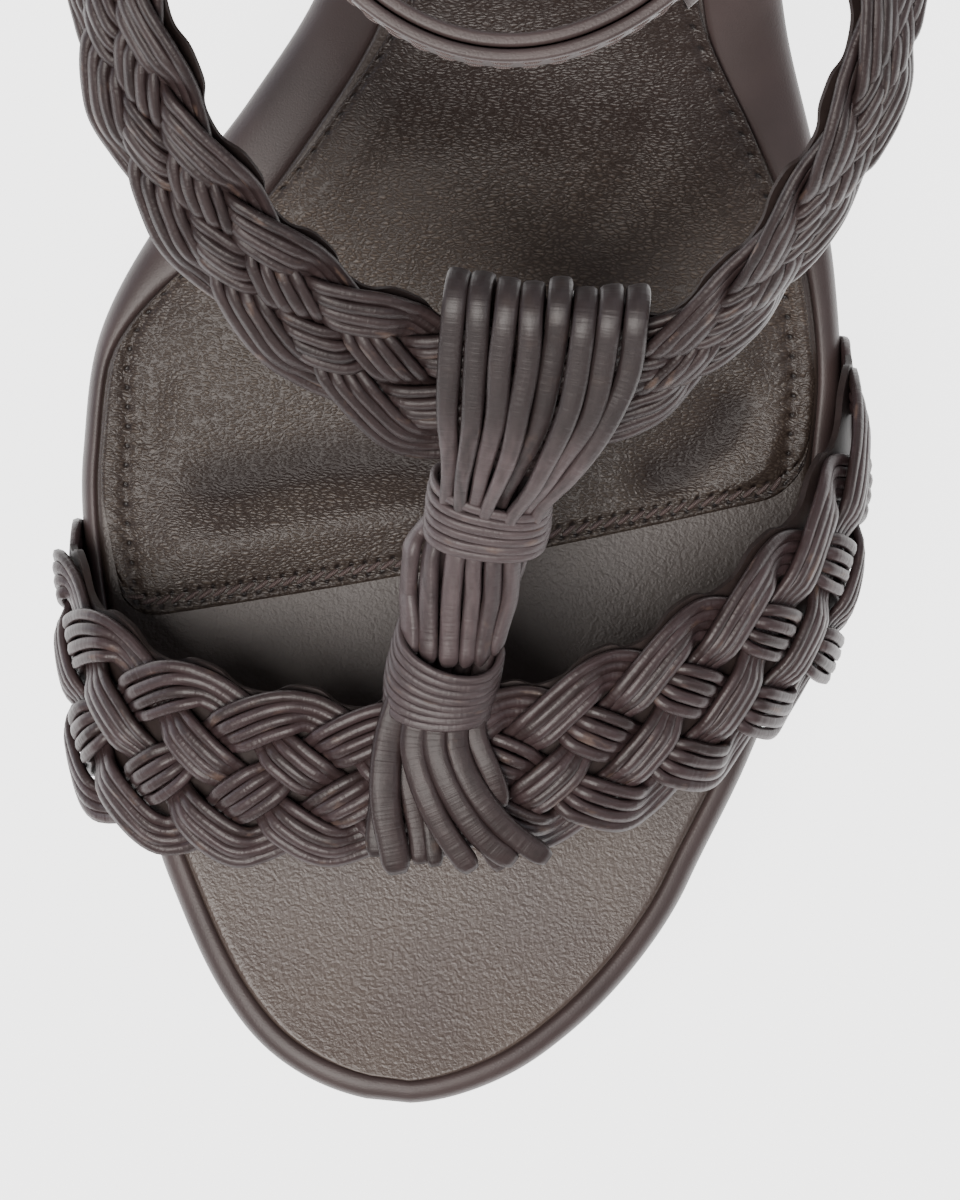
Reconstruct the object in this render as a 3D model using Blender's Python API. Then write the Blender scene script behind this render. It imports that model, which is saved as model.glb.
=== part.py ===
"""Platform sandal for the left foot, as separate solids.

A wrapped insole board sits on a covered platform and a covered block heel. The upper is one
solid: a flat plait over the toes, a flat plait in a V over the instep, corded loops and a bound
stem that join the two, a heel counter and an ankle strap. A tassel hangs from the stem.

Tables are in millimetres. "from_toe" runs level from the tip of the toe (0) to the back of the
insole; x is medial (negative) to lateral (positive); heights are above the floor.
"""

import bpy
import bmesh
import math
from mathutils import Vector

MM = 0.001
GAP = 0.3                 # clearance between neighbouring solids

# ---------------------------------------------------------------- driving dimensions
INSOLE_LENGTH = 222.0     # level length, toe tip to the back of the seat
SOLE_STATIONS = 36        # sections along it
TOE_ROUND = 30.0          # length over which the outline closes at the toe
HEEL_ROUND = 30.0         # and at the back of the heel
BOARD = 5.0               # wrapped insole board, edge thickness
OUTSOLE = 2.8
BREAST = 172.0            # front face of the heel block
TOP_PIECE = 6.0           # rubber piece under the heel
HEEL_OUT = 1.4            # the heel block stands out this much from the insole at its top
HEEL_TAPER = 0.82         # width at the floor, as a share of that at the top
HEEL_TUCK = 9.0           # the back of the heel leans in this much at the floor
SOCK = 1.8                # padded rear sock
SOCK_FRONT = {"inner": 58.0, "outer": 80.0}   # where its front edge starts at each side
SOCK_MARGIN = 7.5         # short of the back of the insole
SOCK_ROUND = 20.0         # length over which its back end closes
SOCK_CORNER = 4.5
PLAIT_WALL = 2.0          # plaited wall under its raised strands
PLAIT_RISE = 2.0          # how far the strands stand up
TOE_PITCH = 11.5          # length along the toe strap between strands of one direction
INSTEP_PITCH = 14.5       # the same on the instep plait
LIP_WALL = 1.4            # strap wall where it is lasted under the board
LIP_REACH = 3.2           # how far the strap ends run in under the board
REBATE = 3.0              # the platform's edge drops this much under the strap ends
COUNTER_WALL = 2.2
ANKLE_WALL = 2.8
ANKLE_DEPTH = 15.0

# Outline of the insole board: half widths before the ends are rounded, height of its top face,
# and the lowest face of the outsole.
SOLE_COLUMNS = ("from_toe", "inner", "outer", "top", "ground")
SOLE_ROWS = (
    (0.0, 30.0, 18.0, 36.0, 13.0),
    (4.0, 28.6, 25.5, 35.2, 10.6),
    (10.0, 26.7, 27.0, 34.0, 7.6),
    (20.0, 28.6, 30.2, 32.3, 3.9),
    (30.0, 32.0, 33.6, 31.0, 1.5),
    (45.0, 38.8, 39.2, 29.6, 0.0),
    (60.0, 43.3, 43.4, 29.0, 0.0),
    (75.0, 45.4, 45.7, 29.0, 0.0),
    (90.0, 44.6, 46.0, 29.6, 0.0),
    (105.0, 38.2, 43.9, 32.3, 0.0),
    (120.0, 28.6, 39.5, 38.2, 8.5),
    (135.0, 20.9, 34.0, 46.0, 25.5),
    (150.0, 19.5, 30.6, 56.5, 43.0),
    (172.0, 22.8, 29.5, 74.3, 64.0),
    (190.0, 26.0, 30.0, 87.0, 78.0),
    (222.0, 27.5, 28.0, 99.0, 90.0),
)

# Width of the smooth wrapped rim, from the outline to the groove round the panel.
RIM_COLUMNS = ("from_toe", "inner", "outer")
RIM_ROWS = (
    (0.0, 3.2, 3.0),
    (30.0, 2.8, 2.8),
    (62.0, 1.9, 2.6),
    (85.0, 1.9, 2.6),
    (97.0, 4.2, 2.8),
    (108.0, 8.2, 3.4),
    (120.0, 8.4, 5.8),
    (137.0, 8.0, 9.2),
    (160.0, 7.0, 8.6),
    (222.0, 6.0, 6.0),
)

# The two plaited straps, from medial to lateral. Each row holds x, from_toe and z of the edge
# nearer the heel, the same of the edge nearer the toes, and how far the middle bows outward.
# Toe strap, foot side of its wall.
TOE_STRAP_ROWS = (
    (-43.4, 64.5, 34.5, -38.6, 34.5, 34.5, 1.0),
    (-38.5, 58.8, 43.8, -34.2, 31.0, 41.5, 1.0),
    (-27.5, 54.2, 51.5, -24.0, 29.8, 46.6, 0.8),
    (-14.0, 52.6, 55.2, -13.0, 31.0, 49.8, 0.6),
    (0.0, 53.0, 56.5, 1.5, 33.8, 51.0, 0.6),
    (15.0, 58.5, 56.8, 16.0, 36.2, 50.2, 0.7),
    (28.0, 67.0, 55.2, 30.0, 43.0, 46.5, 1.0),
    (38.0, 77.0, 50.5, 38.4, 51.0, 42.0, 1.8),
    (43.4, 87.5, 41.5, 44.0, 57.8, 35.0, 2.6),
)
TOE_STRAP_SEATS = (("inner", 66.5, 40.0), ("outer", 97.0, 59.5))

# Instep plait, middle of its wall.
INSTEP_ROWS = (
    (-32.2, 182.0, 118.0, -32.8, 182.0, 101.0, 0.0),
    (-34.2, 168.0, 113.5, -38.4, 166.0, 97.5, 0.3),
    (-35.6, 148.0, 107.5, -45.2, 146.0, 93.0, 0.6),
    (-33.8, 128.0, 101.8, -45.4, 127.0, 89.2, 0.8),
    (-27.6, 116.0, 96.6, -41.0, 113.0, 86.6, 0.8),
    (-19.5, 107.4, 91.5, -31.5, 99.3, 82.8, 0.8),
    (-10.0, 101.0, 87.0, -17.5, 87.6, 77.4, 0.6),
    (0.0, 98.2, 84.0, -4.0, 81.0, 72.8, 0.5),
    (10.0, 97.6, 83.6, 9.5, 80.6, 71.8, 0.5),
    (19.5, 99.8, 85.0, 20.5, 87.0, 73.8, 0.6),
    (27.0, 106.0, 90.0, 29.5, 97.0, 78.0, 0.8),
    (32.6, 115.5, 97.2, 37.4, 109.5, 84.4, 0.8),
    (36.6, 127.0, 103.0, 44.0, 125.5, 92.0, 0.8),
    (37.6, 142.0, 106.6, 45.0, 141.0, 95.4, 0.6),
    (35.8, 164.0, 112.2, 39.2, 163.0, 97.6, 0.3),
    (33.4, 182.0, 118.0, 34.0, 182.0, 102.0, 0.0),
)

# Corded loops over the instep plait, middle of their depth: medial edge, lateral edge, depth.
LOOP_COLUMNS = ("in_x", "in_from_toe", "in_z", "out_x", "out_from_toe", "out_z", "depth")
LOOP_ROWS = (
    (-2.2, 101.6, 83.0, 19.8, 101.8, 84.2, 3.0),
    (-2.6, 100.2, 84.2, 20.4, 100.4, 85.6, 6.8),
    (-2.6, 96.0, 82.2, 20.4, 97.2, 83.8, 8.6),
    (-2.0, 88.0, 77.8, 18.8, 90.0, 79.6, 8.8),
    (-1.2, 81.5, 73.0, 14.6, 83.0, 74.4, 8.6),
    (-0.8, 77.0, 69.6, 11.0, 78.2, 70.2, 7.4),
    (-0.2, 74.0, 67.4, 10.0, 75.0, 67.8, 6.4),
)
LOOPS = 8
LOOP_HOLLOW = 1.0         # depth of the hollow between two loops

# Bound stem under the loops, on its axis: half width, half depth, and how much each of its
# cords or turns stands out ("lobes" along it, "turns" round it).
STEM_COLUMNS = ("x", "from_toe", "z", "half_width", "half_depth", "lobes", "turns")
STEM_ROWS = (
    (5.0, 79.0, 70.6, 5.0, 3.2, 0.0, 0.0),
    (4.9, 78.0, 70.0, 6.7, 4.6, 0.0, 0.5),
    (4.7, 74.5, 67.8, 6.9, 4.8, 0.0, 0.5),
    (4.4, 70.6, 65.4, 6.6, 4.5, 0.0, 0.5),
    (4.1, 69.2, 64.6, 5.3, 3.5, 0.5, 0.0),
    (2.8, 64.0, 61.8, 5.9, 3.6, 0.7, 0.0),
    (1.9, 59.4, 59.8, 5.4, 3.5, 0.5, 0.0),
    (1.7, 58.2, 59.4, 6.7, 4.5, 0.0, 0.5),
    (1.2, 53.2, 58.0, 7.0, 4.8, 0.0, 0.5),
    (1.2, 48.4, 57.6, 6.7, 4.4, 0.0, 0.5),
    (1.3, 47.4, 57.6, 5.0, 2.8, 0.0, 0.0),
)
TURN_PITCH = 1.75         # a turn of the binding along the stem
STEM_SIDES = 12           # every second one is a hollow between two cords

# Tassel strands from medial to lateral: x, from_toe and z of the tip, and half width.
TASSEL_ROWS = (
    (-5.2, 32.0, 56.6, 1.15),
    (-3.0, 30.5, 56.8, 1.25),
    (-0.2, 31.2, 57.0, 1.25),
    (2.8, 31.4, 57.2, 1.25),
    (5.2, 30.6, 57.2, 1.25),
    (8.0, 32.4, 57.0, 1.20),
    (10.8, 33.0, 56.6, 1.20),
    (13.8, 33.6, 56.0, 1.15),
    (16.6, 34.4, 55.2, 1.05),
)
TASSEL_ROOT = (1.4, 46.9, 60.9, 9.0)   # x, from_toe, z and spread of the strands at the stem
TASSEL_RISE = 2.0

# Heel counter, by height above the seat: how far its foot side stands out from the outline.
COUNTER_COLUMNS = ("up", "out")
COUNTER_ROWS = ((-4.6, 0.5), (2.0, 1.2), (14.0, 3.6), (26.0, 3.8), (44.0, -0.6), (57.0, -5.4), (64.0, -6.0),
                (82.0, -6.4))
# Its top edge, by the share of the way from the medial front corner round to the lateral one.
COUNTER_TOP_COLUMNS = ("share", "up")
COUNTER_TOP_ROWS = ((0.0, 8.0), (0.1, 26.0), (0.2, 36.0), (0.34, 39.0), (0.43, 48.0), (0.465, 66.0),
                    (0.5, 70.0), (0.535, 66.0), (0.57, 48.0), (0.66, 39.0), (0.8, 36.0), (0.9, 26.0),
                    (1.0, 8.0))
COUNTER_FRONT = 164.0

# Ankle strap: an oval ring, level.
ANKLE_CENTRE = (0.6, 170.2)
ANKLE_HALF = (31.0, 47.2)
ANKLE_TOP = 172.0
TAIL = (12.0, 50.0)       # degrees round the ring that the free end of the strap lies over
TAIL_WALL = 1.4

# Buckle on the lateral side of the ankle strap, its bar toward the toes.
BUCKLE_WIDE = 13.0
BUCKLE_HIGH = 18.4
BUCKLE_CORNER = 3.0
BUCKLE_WIRE = 1.0
BAR_OUT = 1.7             # middle of the bar, out from the strap's face
SLEEVE = 2.7              # fold of leather that holds the bar, outer radius
PRONG_SLOT = 3.0
PRONG_WIRE = 0.8
PRONG_COLUMNS = ("behind", "lift")     # from the bar, and out from it
PRONG_ROWS = ((-0.3, 0.0), (2.0, 0.6), (6.5, 1.6), (11.5, 2.1), (14.2, 2.1))


# ---------------------------------------------------------------- curves through the tables
def column(rows, names, name):
    at = names.index(name)
    return [row[at] for row in rows]


def through(places, values, place):
    """Smooth curve through (places, values), read at one place."""
    last = len(places) - 1
    if place <= places[0]:
        return values[0]
    if place >= places[last]:
        return values[last]
    i = 0
    while places[i + 1] < place:
        i += 1

    def slope(k):
        if k == 0:
            return (values[1] - values[0]) / (places[1] - places[0])
        if k == last:
            return (values[last] - values[last - 1]) / (places[last] - places[last - 1])
        before = (values[k] - values[k - 1]) / (places[k] - places[k - 1])
        after = (values[k + 1] - values[k]) / (places[k + 1] - places[k])
        if before * after <= 0.0:
            return 0.0
        span_before = places[k] - places[k - 1]
        span_after = places[k + 1] - places[k]
        return (before * span_after + after * span_before) / (span_before + span_after)

    span = places[i + 1] - places[i]
    t = (place - places[i]) / span
    return ((2 * t**3 - 3 * t**2 + 1) * values[i] + (t**3 - 2 * t**2 + t) * span * slope(i)
            + (3 * t**2 - 2 * t**3) * values[i + 1] + (t**3 - t**2) * span * slope(i + 1))


def sole(name, from_toe):
    places = column(SOLE_ROWS, SOLE_COLUMNS, "from_toe")
    return through(places, column(SOLE_ROWS, SOLE_COLUMNS, name), from_toe)


def rim(side, from_toe):
    places = column(RIM_ROWS, RIM_COLUMNS, "from_toe")
    return through(places, column(RIM_ROWS, RIM_COLUMNS, side), from_toe)


def blend(a, b, share):
    return a + (b - a) * share


def soft_step(low, high, value):
    t = min(1.0, max(0.0, (value - low) / (high - low)))
    return t * t * (3.0 - 2.0 * t)


def end_round(from_toe):
    """Closes the outline at the toe and at the back of the heel."""
    toe = max(0.0, 1.0 - from_toe / TOE_ROUND)
    heel = max(0.0, 1.0 - (INSOLE_LENGTH - from_toe) / HEEL_ROUND)
    return math.sqrt(max(0.0, 1.0 - toe * toe)) * math.sqrt(max(0.0, 1.0 - heel * heel))


def outline_x(side, from_toe):
    sign = -1.0 if side == "inner" else 1.0
    return sign * sole(side, from_toe) * end_round(from_toe)


# ---------------------------------------------------------------- mesh helpers
def material(name, colour, roughness, metallic=0.0):
    made = bpy.data.materials.new(name)
    made.use_nodes = True
    shader = made.node_tree.nodes["Principled BSDF"]
    shader.inputs["Base Color"].default_value = (*colour, 1.0)
    shader.inputs["Roughness"].default_value = roughness
    shader.inputs["Metallic"].default_value = metallic
    made.diffuse_color = (*colour, 1.0)
    return made


def add_solid(name, points, faces, collection, made):
    """A closed mesh object from points in table millimetres (x, from_toe, z)."""
    mesh = bpy.data.meshes.new(name)
    mesh.from_pydata([(x * MM, y * MM, z * MM) for x, y, z in points], [], faces)
    shape = bmesh.new()
    shape.from_mesh(mesh)
    bmesh.ops.recalc_face_normals(shape, faces=shape.faces)
    shape.to_mesh(mesh)
    shape.free()
    mesh.shade_smooth()
    mesh.set_sharp_from_angle(angle=math.radians(50))
    mesh.materials.append(made)
    built = bpy.data.objects.new(name, mesh)
    collection.objects.link(built)
    return built


def in_triangles(solid):
    shape = bmesh.new()
    shape.from_mesh(solid.data)
    bmesh.ops.triangulate(shape, faces=shape.faces)
    shape.to_mesh(solid.data)
    shape.free()


def combine(target, other, operation):
    """Boolean of two closed solids, kept in the first one."""
    in_triangles(target)
    in_triangles(other)
    modifier = target.modifiers.new(operation.lower(), "BOOLEAN")
    modifier.operation = operation
    modifier.solver = "EXACT"
    modifier.object = other
    bpy.context.view_layer.update()
    result = target.evaluated_get(bpy.context.evaluated_depsgraph_get())
    joined = bpy.data.meshes.new_from_object(result)
    target.modifiers.clear()
    target.data = joined
    bpy.data.objects.remove(other, do_unlink=True)


def join_solids(target, others):
    for other in others:
        combine(target, other, "UNION")
    return target


def sole_places(start, end):
    """Stations along the sole that its stacked pieces share, closer together at its ends."""
    tip = 0.15
    shared = []
    for i in range(SOLE_STATIONS + 1):
        eased = 0.5 - 0.5 * math.cos(math.pi * i / SOLE_STATIONS)
        shared.append(blend(tip, INSOLE_LENGTH - tip, eased))
    kept = [s for s in shared if start + 2.0 < s < end - 2.0]
    if start > 0.0:
        kept.insert(0, start)
    else:
        kept = [s for s in shared if s <= 2.0] + kept
    if end < INSOLE_LENGTH:
        kept.append(end)
    else:
        kept += [s for s in shared if s >= end - 2.0]
    return kept


def sole_ring(places, inset, level):
    """Closed loop of the sole's outline, moved in by inset(side, from_toe), at level(from_toe)."""
    loop = [("inner", s) for s in places] + [("outer", s) for s in reversed(places)]
    flat = [Vector((outline_x(side, s), s)) for side, s in loop]
    count = len(flat)
    ring = []
    for i, (side, s) in enumerate(loop):
        along = flat[(i + 1) % count] - flat[i - 1]
        normal = Vector((along.y, -along.x)).normalized()
        moved = flat[i] + normal * inset(side, s)
        ring.append((moved.x, moved.y, level(side, moved.y)))
    return ring


def stacked(name, rings, collection, made):
    """Solid through closed rings, bottom first; its ends are strips from side to side."""
    count = len(rings[0])
    half = count // 2
    points = [point for ring in rings for point in ring]
    faces = []
    for k in range(len(rings) - 1):
        for i in range(count):
            j = (i + 1) % count
            faces.append((k * count + i, k * count + j, (k + 1) * count + j, (k + 1) * count + i))
    top = (len(rings) - 1) * count
    for i in range(half - 1):
        strip = (i, i + 1, count - 2 - i, count - 1 - i)
        faces.append(strip)
        faces.append(tuple(top + k for k in strip))
    return add_solid(name, points, faces, collection, made)


def tube_ends(rows_of_sections):
    """Faces of a loft of closed sections, capped at both ends."""
    count = len(rows_of_sections[0])
    faces = []
    for k in range(len(rows_of_sections) - 1):
        for i in range(count):
            j = (i + 1) % count
            faces.append((k * count + i, k * count + j, (k + 1) * count + j, (k + 1) * count + i))
    last = (len(rows_of_sections) - 1) * count
    faces.append(tuple(range(count)))
    faces.append(tuple(last + i for i in range(count)))
    return faces


def lofted(name, sections, collection, made):
    points = [point for section in sections for point in section]
    return add_solid(name, points, tube_ends(sections), collection, made)


# ---------------------------------------------------------------- plaited walls
def plait_rise(along, across, pitch):
    """Height (0 to 1) of a flat five-strand plait, one over, one under."""
    half_turn = 2.5 * pitch
    weave = math.cos(math.pi * (5.0 * across - 1.0))
    highest = 0.0
    for lean, lift in ((1.0, -weave), (-1.0, weave)):
        place = ((along - lean * across * half_turn) / pitch) % 1.0
        crown = math.sqrt(max(0.0, 1.0 - (2.0 * place - 1.0) ** 2))
        highest = max(highest, 0.3 * lift + 0.7 * crown)
    return highest


class Ribbon:
    """A band laid out evenly along its length. Each row holds its back edge, its middle and its
    front edge, three numbers each."""

    def __init__(self, rows, samples=240):
        self.rows = rows
        self.marks = [0.0]
        for a, b in zip(rows, rows[1:]):
            self.marks.append(self.marks[-1] + (Vector(b[3:6]) - Vector(a[3:6])).length)
        self.steps = [self.marks[-1] * i / samples for i in range(samples + 1)]
        track = [self.at_mark(mark, 0.5) for mark in self.steps]
        self.lengths = [0.0]
        for a, b in zip(track, track[1:]):
            self.lengths.append(self.lengths[-1] + (b - a).length)
        self.length = self.lengths[-1]

    def at_mark(self, mark, across):
        read = [through(self.marks, [row[k] for row in self.rows], mark) for k in range(9)]
        back = Vector(read[:3])
        middle = Vector(read[3:6])
        front = Vector(read[6:])
        bow = middle - back.lerp(front, 0.5)
        return back.lerp(front, across) + bow * 4.0 * across * (1.0 - across)

    def at(self, share, across):
        """Point at a share of the length and of the width."""
        target = share * self.length
        i = 0
        while i < len(self.lengths) - 2 and self.lengths[i + 1] < target:
            i += 1
        part = (target - self.lengths[i]) / (self.lengths[i + 1] - self.lengths[i])
        return self.at_mark(blend(self.steps[i], self.steps[i + 1], part), across)

    def normal(self, share, across):
        step = 0.004
        along = self.at(min(1.0, share + step), across) - self.at(max(0.0, share - step), across)
        wide = self.at(share, min(1.0, across + 0.05)) - self.at(share, max(0.0, across - 0.05))
        return wide.cross(along).normalized()


def bowed(rows):
    """Rows of two edges and a bow, turned into rows of back edge, middle and front edge."""
    made = []
    for i, row in enumerate(rows):
        back = Vector(row[:3])
        front = Vector(row[3:6])
        before = rows[max(0, i - 1)]
        after = rows[min(len(rows) - 1, i + 1)]
        along = Vector(after[:3]) + Vector(after[3:6]) - Vector(before[:3]) - Vector(before[3:6])
        out = (front - back).cross(along).normalized()
        middle = back.lerp(front, 0.5) + out * row[6]
        made.append((*back, *middle, *front))
    return made


def band(name, ribbon, cells_along, cells_across, under, over, collection, made):
    """Closed solid over a ribbon: under(share) below it, over(share, across) above it."""
    points = []
    outer = cells_across + 1
    inner = cells_across // 2 + 1
    for i in range(cells_along + 1):
        share = i / cells_along
        for j in range(outer):
            across = j / cells_across
            lift = over(share, across)
            points.append(ribbon.at(share, across) + ribbon.normal(share, across) * lift)
        for j in range(inner):
            across = 1.0 - j / (inner - 1)
            points.append(ribbon.at(share, across) - ribbon.normal(share, across) * under(share))
    count = outer + inner
    sections = [[tuple(p) for p in points[i:i + count]] for i in range(0, len(points), count)]
    return lofted(name, sections, collection, made)


# ---------------------------------------------------------------- the sole
def board_top(_side, s):
    return sole("top", s)


def board_under(_side, s):
    return sole("top", s) - BOARD


def make_insole(collection, made):
    places = sole_places(0.0, INSOLE_LENGTH)

    def inset(distance):
        return lambda side, s: min(distance, rim(side, s) - 0.8)

    def past_rim(extra):
        return lambda side, s: rim(side, s) + extra

    rings = [
        sole_ring(places, lambda side, s: 2.2, board_under),
        sole_ring(places, lambda side, s: 0.5, lambda side, s: board_under(side, s) + 0.7),
        sole_ring(places, lambda side, s: 0.0, lambda side, s: board_under(side, s) + 2.4),
        sole_ring(places, lambda side, s: 0.35, lambda side, s: board_top(side, s) - 0.9),
        sole_ring(places, inset(1.8), board_top),
        sole_ring(places, past_rim(-0.5), board_top),
        sole_ring(places, past_rim(0.0), lambda side, s: board_top(side, s) - 0.6),
        sole_ring(places, past_rim(0.7), lambda side, s: board_top(side, s) + 0.3),
    ]
    return stacked("insole", rings, collection, made)


def make_sock(collection, made):
    """Padded sock from the ball seam to the heel, its front edge slanting across the ball."""
    back = INSOLE_LENGTH - SOCK_MARGIN
    count = 30

    def edge(extra):
        loop = []
        for side, order in (("inner", range(count + 1)), ("outer", range(count, -1, -1))):
            sign = -1.0 if side == "inner" else 1.0
            for i in order:
                eased = 0.5 - 0.5 * math.cos(math.pi * i / count)
                s = blend(SOCK_FRONT[side] + 0.6 * extra, back - extra, eased)
                corner = SOCK_CORNER * (1.0 - soft_step(0.0, 0.05, eased))
                strip = blend(0.7, 2.6, soft_step(88.0, 108.0, s))
                past = max(0.0, (s - back + SOCK_ROUND) / SOCK_ROUND)
                width = abs(outline_x(side, min(s, back - SOCK_ROUND)))
                width = min(width, abs(sole(side, s))) - rim(side, s) - strip - corner - extra
                loop.append((sign * width * math.sqrt(max(0.004, 1.0 - past * past)), s))
        return loop

    rings = []
    seat = 0.3 + 2.0 * GAP
    for extra, level in ((0.0, seat), (0.0, seat + 1.1), (0.9, seat + SOCK)):
        rings.append([(x, s, sole("top", s) + level) for x, s in edge(extra)])
    return stacked("sock", rings, collection, made)


def rebate(side, s):
    """The platform's edge drops under the ends of the toe strap."""
    seats = {name: (front, back) for name, back, front in TOE_STRAP_SEATS}
    front, back = seats[side]
    return REBATE * soft_step(front - 12.0, front - 4.0, s) * (1.0 - soft_step(back + 4.0, back + 12.0, s))


def make_platform(collection, made):
    places = sole_places(0.0, BREAST)

    def level(share):
        def height(side, s):
            low = sole("ground", s) + OUTSOLE + 1.4 * GAP
            high = board_under(side, s) - 1.4 * GAP
            return blend(low, high, share)
        return height

    def edge(share):
        return lambda side, s: level(share)(side, s) - rebate(side, s)

    rings = [
        sole_ring(places, lambda side, s: 4.0, level(0.0)),
        sole_ring(places, lambda side, s: 2.8, level(0.06)),
        sole_ring(places, lambda side, s: 1.6, level(0.5)),
        sole_ring(places, lambda side, s: 0.9, edge(0.9)),
        sole_ring(places, lambda side, s: 1.5, edge(1.0)),
        sole_ring(places, lambda side, s: 7.0, level(1.0)),
    ]
    return stacked("platform", rings, collection, made)


def make_outsole(collection, made):
    places = sole_places(0.0, BREAST)

    def level(rise):
        return lambda side, s: sole("ground", s) + rise

    rings = [
        sole_ring(places, lambda side, s: 5.6, level(0.0)),
        sole_ring(places, lambda side, s: 4.4, level(0.6)),
        sole_ring(places, lambda side, s: 4.2, level(OUTSOLE)),
    ]
    return stacked("outsole", rings, collection, made)


def heel_ring(places, share, inset=0.0):
    """Loop of the heel block at a share of its height (0 at the top piece, 1 under the board)."""
    flare = share ** 2.2
    ring = []
    for x, s, _ in sole_ring(places, lambda side, s: inset - HEEL_OUT, board_under):
        s = max(s, places[0])
        part = (s - places[0]) / (INSOLE_LENGTH - places[0])
        low_s = blend(places[0] + 0.5 + inset, INSOLE_LENGTH - HEEL_TUCK - inset, part)
        low_x = HEEL_TAPER * x
        top_z = board_under("inner", s) - 1.3 * GAP
        z = blend(TOP_PIECE + GAP, top_z, share)
        ring.append((blend(low_x, x, flare), blend(low_s, s, flare), z))
    return ring


def make_heel(collection, made):
    places = sole_places(BREAST + 0.4, INSOLE_LENGTH)
    rings = [heel_ring(places, share) for share in (0.0, 0.25, 0.5, 0.7, 0.85, 0.95, 1.0)]
    return stacked("heel", rings, collection, made)


def make_top_piece(collection, made):
    places = sole_places(BREAST + 0.4, INSOLE_LENGTH)
    rings = []
    for inset, z in ((0.8, 0.0), (0.0, 0.7), (0.0, TOP_PIECE)):
        rings.append([(x, s, z) for x, s, _ in heel_ring(places, 0.0, inset)])
    return stacked("heel_top_piece", rings, collection, made)


# ---------------------------------------------------------------- the upper
def seat_rows(side, back, front):
    """Rows that take the toe strap down beside the board and in under it, last row innermost."""
    sign = -1.0 if side == "inner" else 1.0
    rows = []
    beside = ((GAP + 0.5, BOARD - 1.8), (GAP + 0.3, 0.4))
    under = ((-1.4, -GAP - 0.2), (-LIP_REACH, -GAP - 0.1))
    for out, rise in beside + under:
        row = []
        for s in (back, 0.5 * (back + front), front):
            row += [sign * (abs(outline_x(side, s)) + out), s, board_under(side, s) + rise]
        rows.append(tuple(row))
    return rows


def make_toe_strap(collection, made):
    (inner, inner_back, inner_front), (outer, outer_back, outer_front) = TOE_STRAP_SEATS
    rows = list(reversed(seat_rows(inner, inner_back, inner_front)))
    rows += bowed(TOE_STRAP_ROWS)
    rows += seat_rows(outer, outer_back, outer_front)
    ribbon = Ribbon(rows)

    def over(share, across):
        reach = min(share, 1.0 - share) * ribbon.length
        full = soft_step(5.0, 16.0, reach)
        wall = blend(LIP_WALL, PLAIT_WALL, full)
        return wall + full * PLAIT_RISE * plait_rise(share * ribbon.length, across, TOE_PITCH)

    return band("toe_strap", ribbon, 60, 8, lambda share: 0.0, over, collection, made)


def make_instep_plait(collection, made):
    ribbon = Ribbon(bowed(INSTEP_ROWS))

    skin = 0.3

    def over(share, across):
        reach = min(share, 1.0 - share) * ribbon.length
        strand = plait_rise(share * ribbon.length, across, INSTEP_PITCH)
        return skin + soft_step(0.0, 10.0, reach) * PLAIT_RISE * strand

    return band("instep", ribbon, 70, 8, lambda share: PLAIT_WALL - skin, over, collection, made)


def length_marks(rows):
    """Distance along the first three columns, up to each row."""
    marks = [0.0]
    for a, b in zip(rows, rows[1:]):
        marks.append(marks[-1] + (Vector(b[:3]) - Vector(a[:3])).length)
    return marks


def loops_at(share, name):
    marks = length_marks(LOOP_ROWS)
    return through(marks, column(LOOP_ROWS, LOOP_COLUMNS, name), share * marks[-1])


def loops_edge(share, side):
    return Vector([loops_at(share, "%s_%s" % (side, axis)) for axis in ("x", "from_toe", "z")])


def make_loops(collection, made):
    """The loops side by side: a fan with one rounded rib for each."""
    cells = 3 * LOOPS
    count = 14
    step = 0.02
    sections = []
    for i in range(count + 1):
        share = i / count
        medial = loops_edge(share, "in")
        lateral = loops_edge(share, "out")
        along = loops_edge(min(1.0, share + step), "in") - loops_edge(max(0.0, share - step), "in")
        half_depth = along.cross(lateral - medial).normalized() * 0.5 * loops_at(share, "depth")
        section = []
        for j in range(cells + 1):
            across = j / cells
            rib = abs(math.sin(math.pi * across * LOOPS)) ** 0.6
            hollow = half_depth.normalized() * LOOP_HOLLOW * (1.0 - rib)
            section.append(tuple(medial.lerp(lateral, across) + half_depth - hollow))
        for across in (1.0, 0.0):
            section.append(tuple(medial.lerp(lateral, across) - half_depth))
        sections.append(section)
    return lofted("loops", sections, collection, made)


def stem_at(share, name):
    marks = length_marks(STEM_ROWS)
    return through(marks, column(STEM_ROWS, STEM_COLUMNS, name), share * marks[-1])


def make_stem(collection, made):
    """Two bindings with the bundle of cords between them."""
    count = round(length_marks(STEM_ROWS)[-1] / (0.5 * TURN_PITCH))
    sections = []
    for i in range(count + 1):
        share = i / count
        centre = Vector((stem_at(share, "x"), stem_at(share, "from_toe"), stem_at(share, "z")))
        ahead = Vector(stem_at(min(1.0, share + 0.02), k) for k in ("x", "from_toe", "z"))
        behind = Vector(stem_at(max(0.0, share - 0.02), k) for k in ("x", "from_toe", "z"))
        along = (ahead - behind).normalized()
        wide = Vector((1.0, 0.0, 0.0))
        wide = (wide - along * wide.dot(along)).normalized()
        deep = wide.cross(along)
        groove = stem_at(share, "turns") * (i % 2)
        section = []
        for j in range(STEM_SIDES):
            angle = 2.0 * math.pi * j / STEM_SIDES
            lobe = stem_at(share, "lobes") * (j % 2)
            across = math.cos(angle) * (stem_at(share, "half_width") - groove - lobe)
            up = math.sin(angle) * (stem_at(share, "half_depth") - groove - lobe)
            section.append(tuple(centre + wide * across + deep * up))
        sections.append(section)
    return lofted("stem", sections, collection, made)


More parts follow.
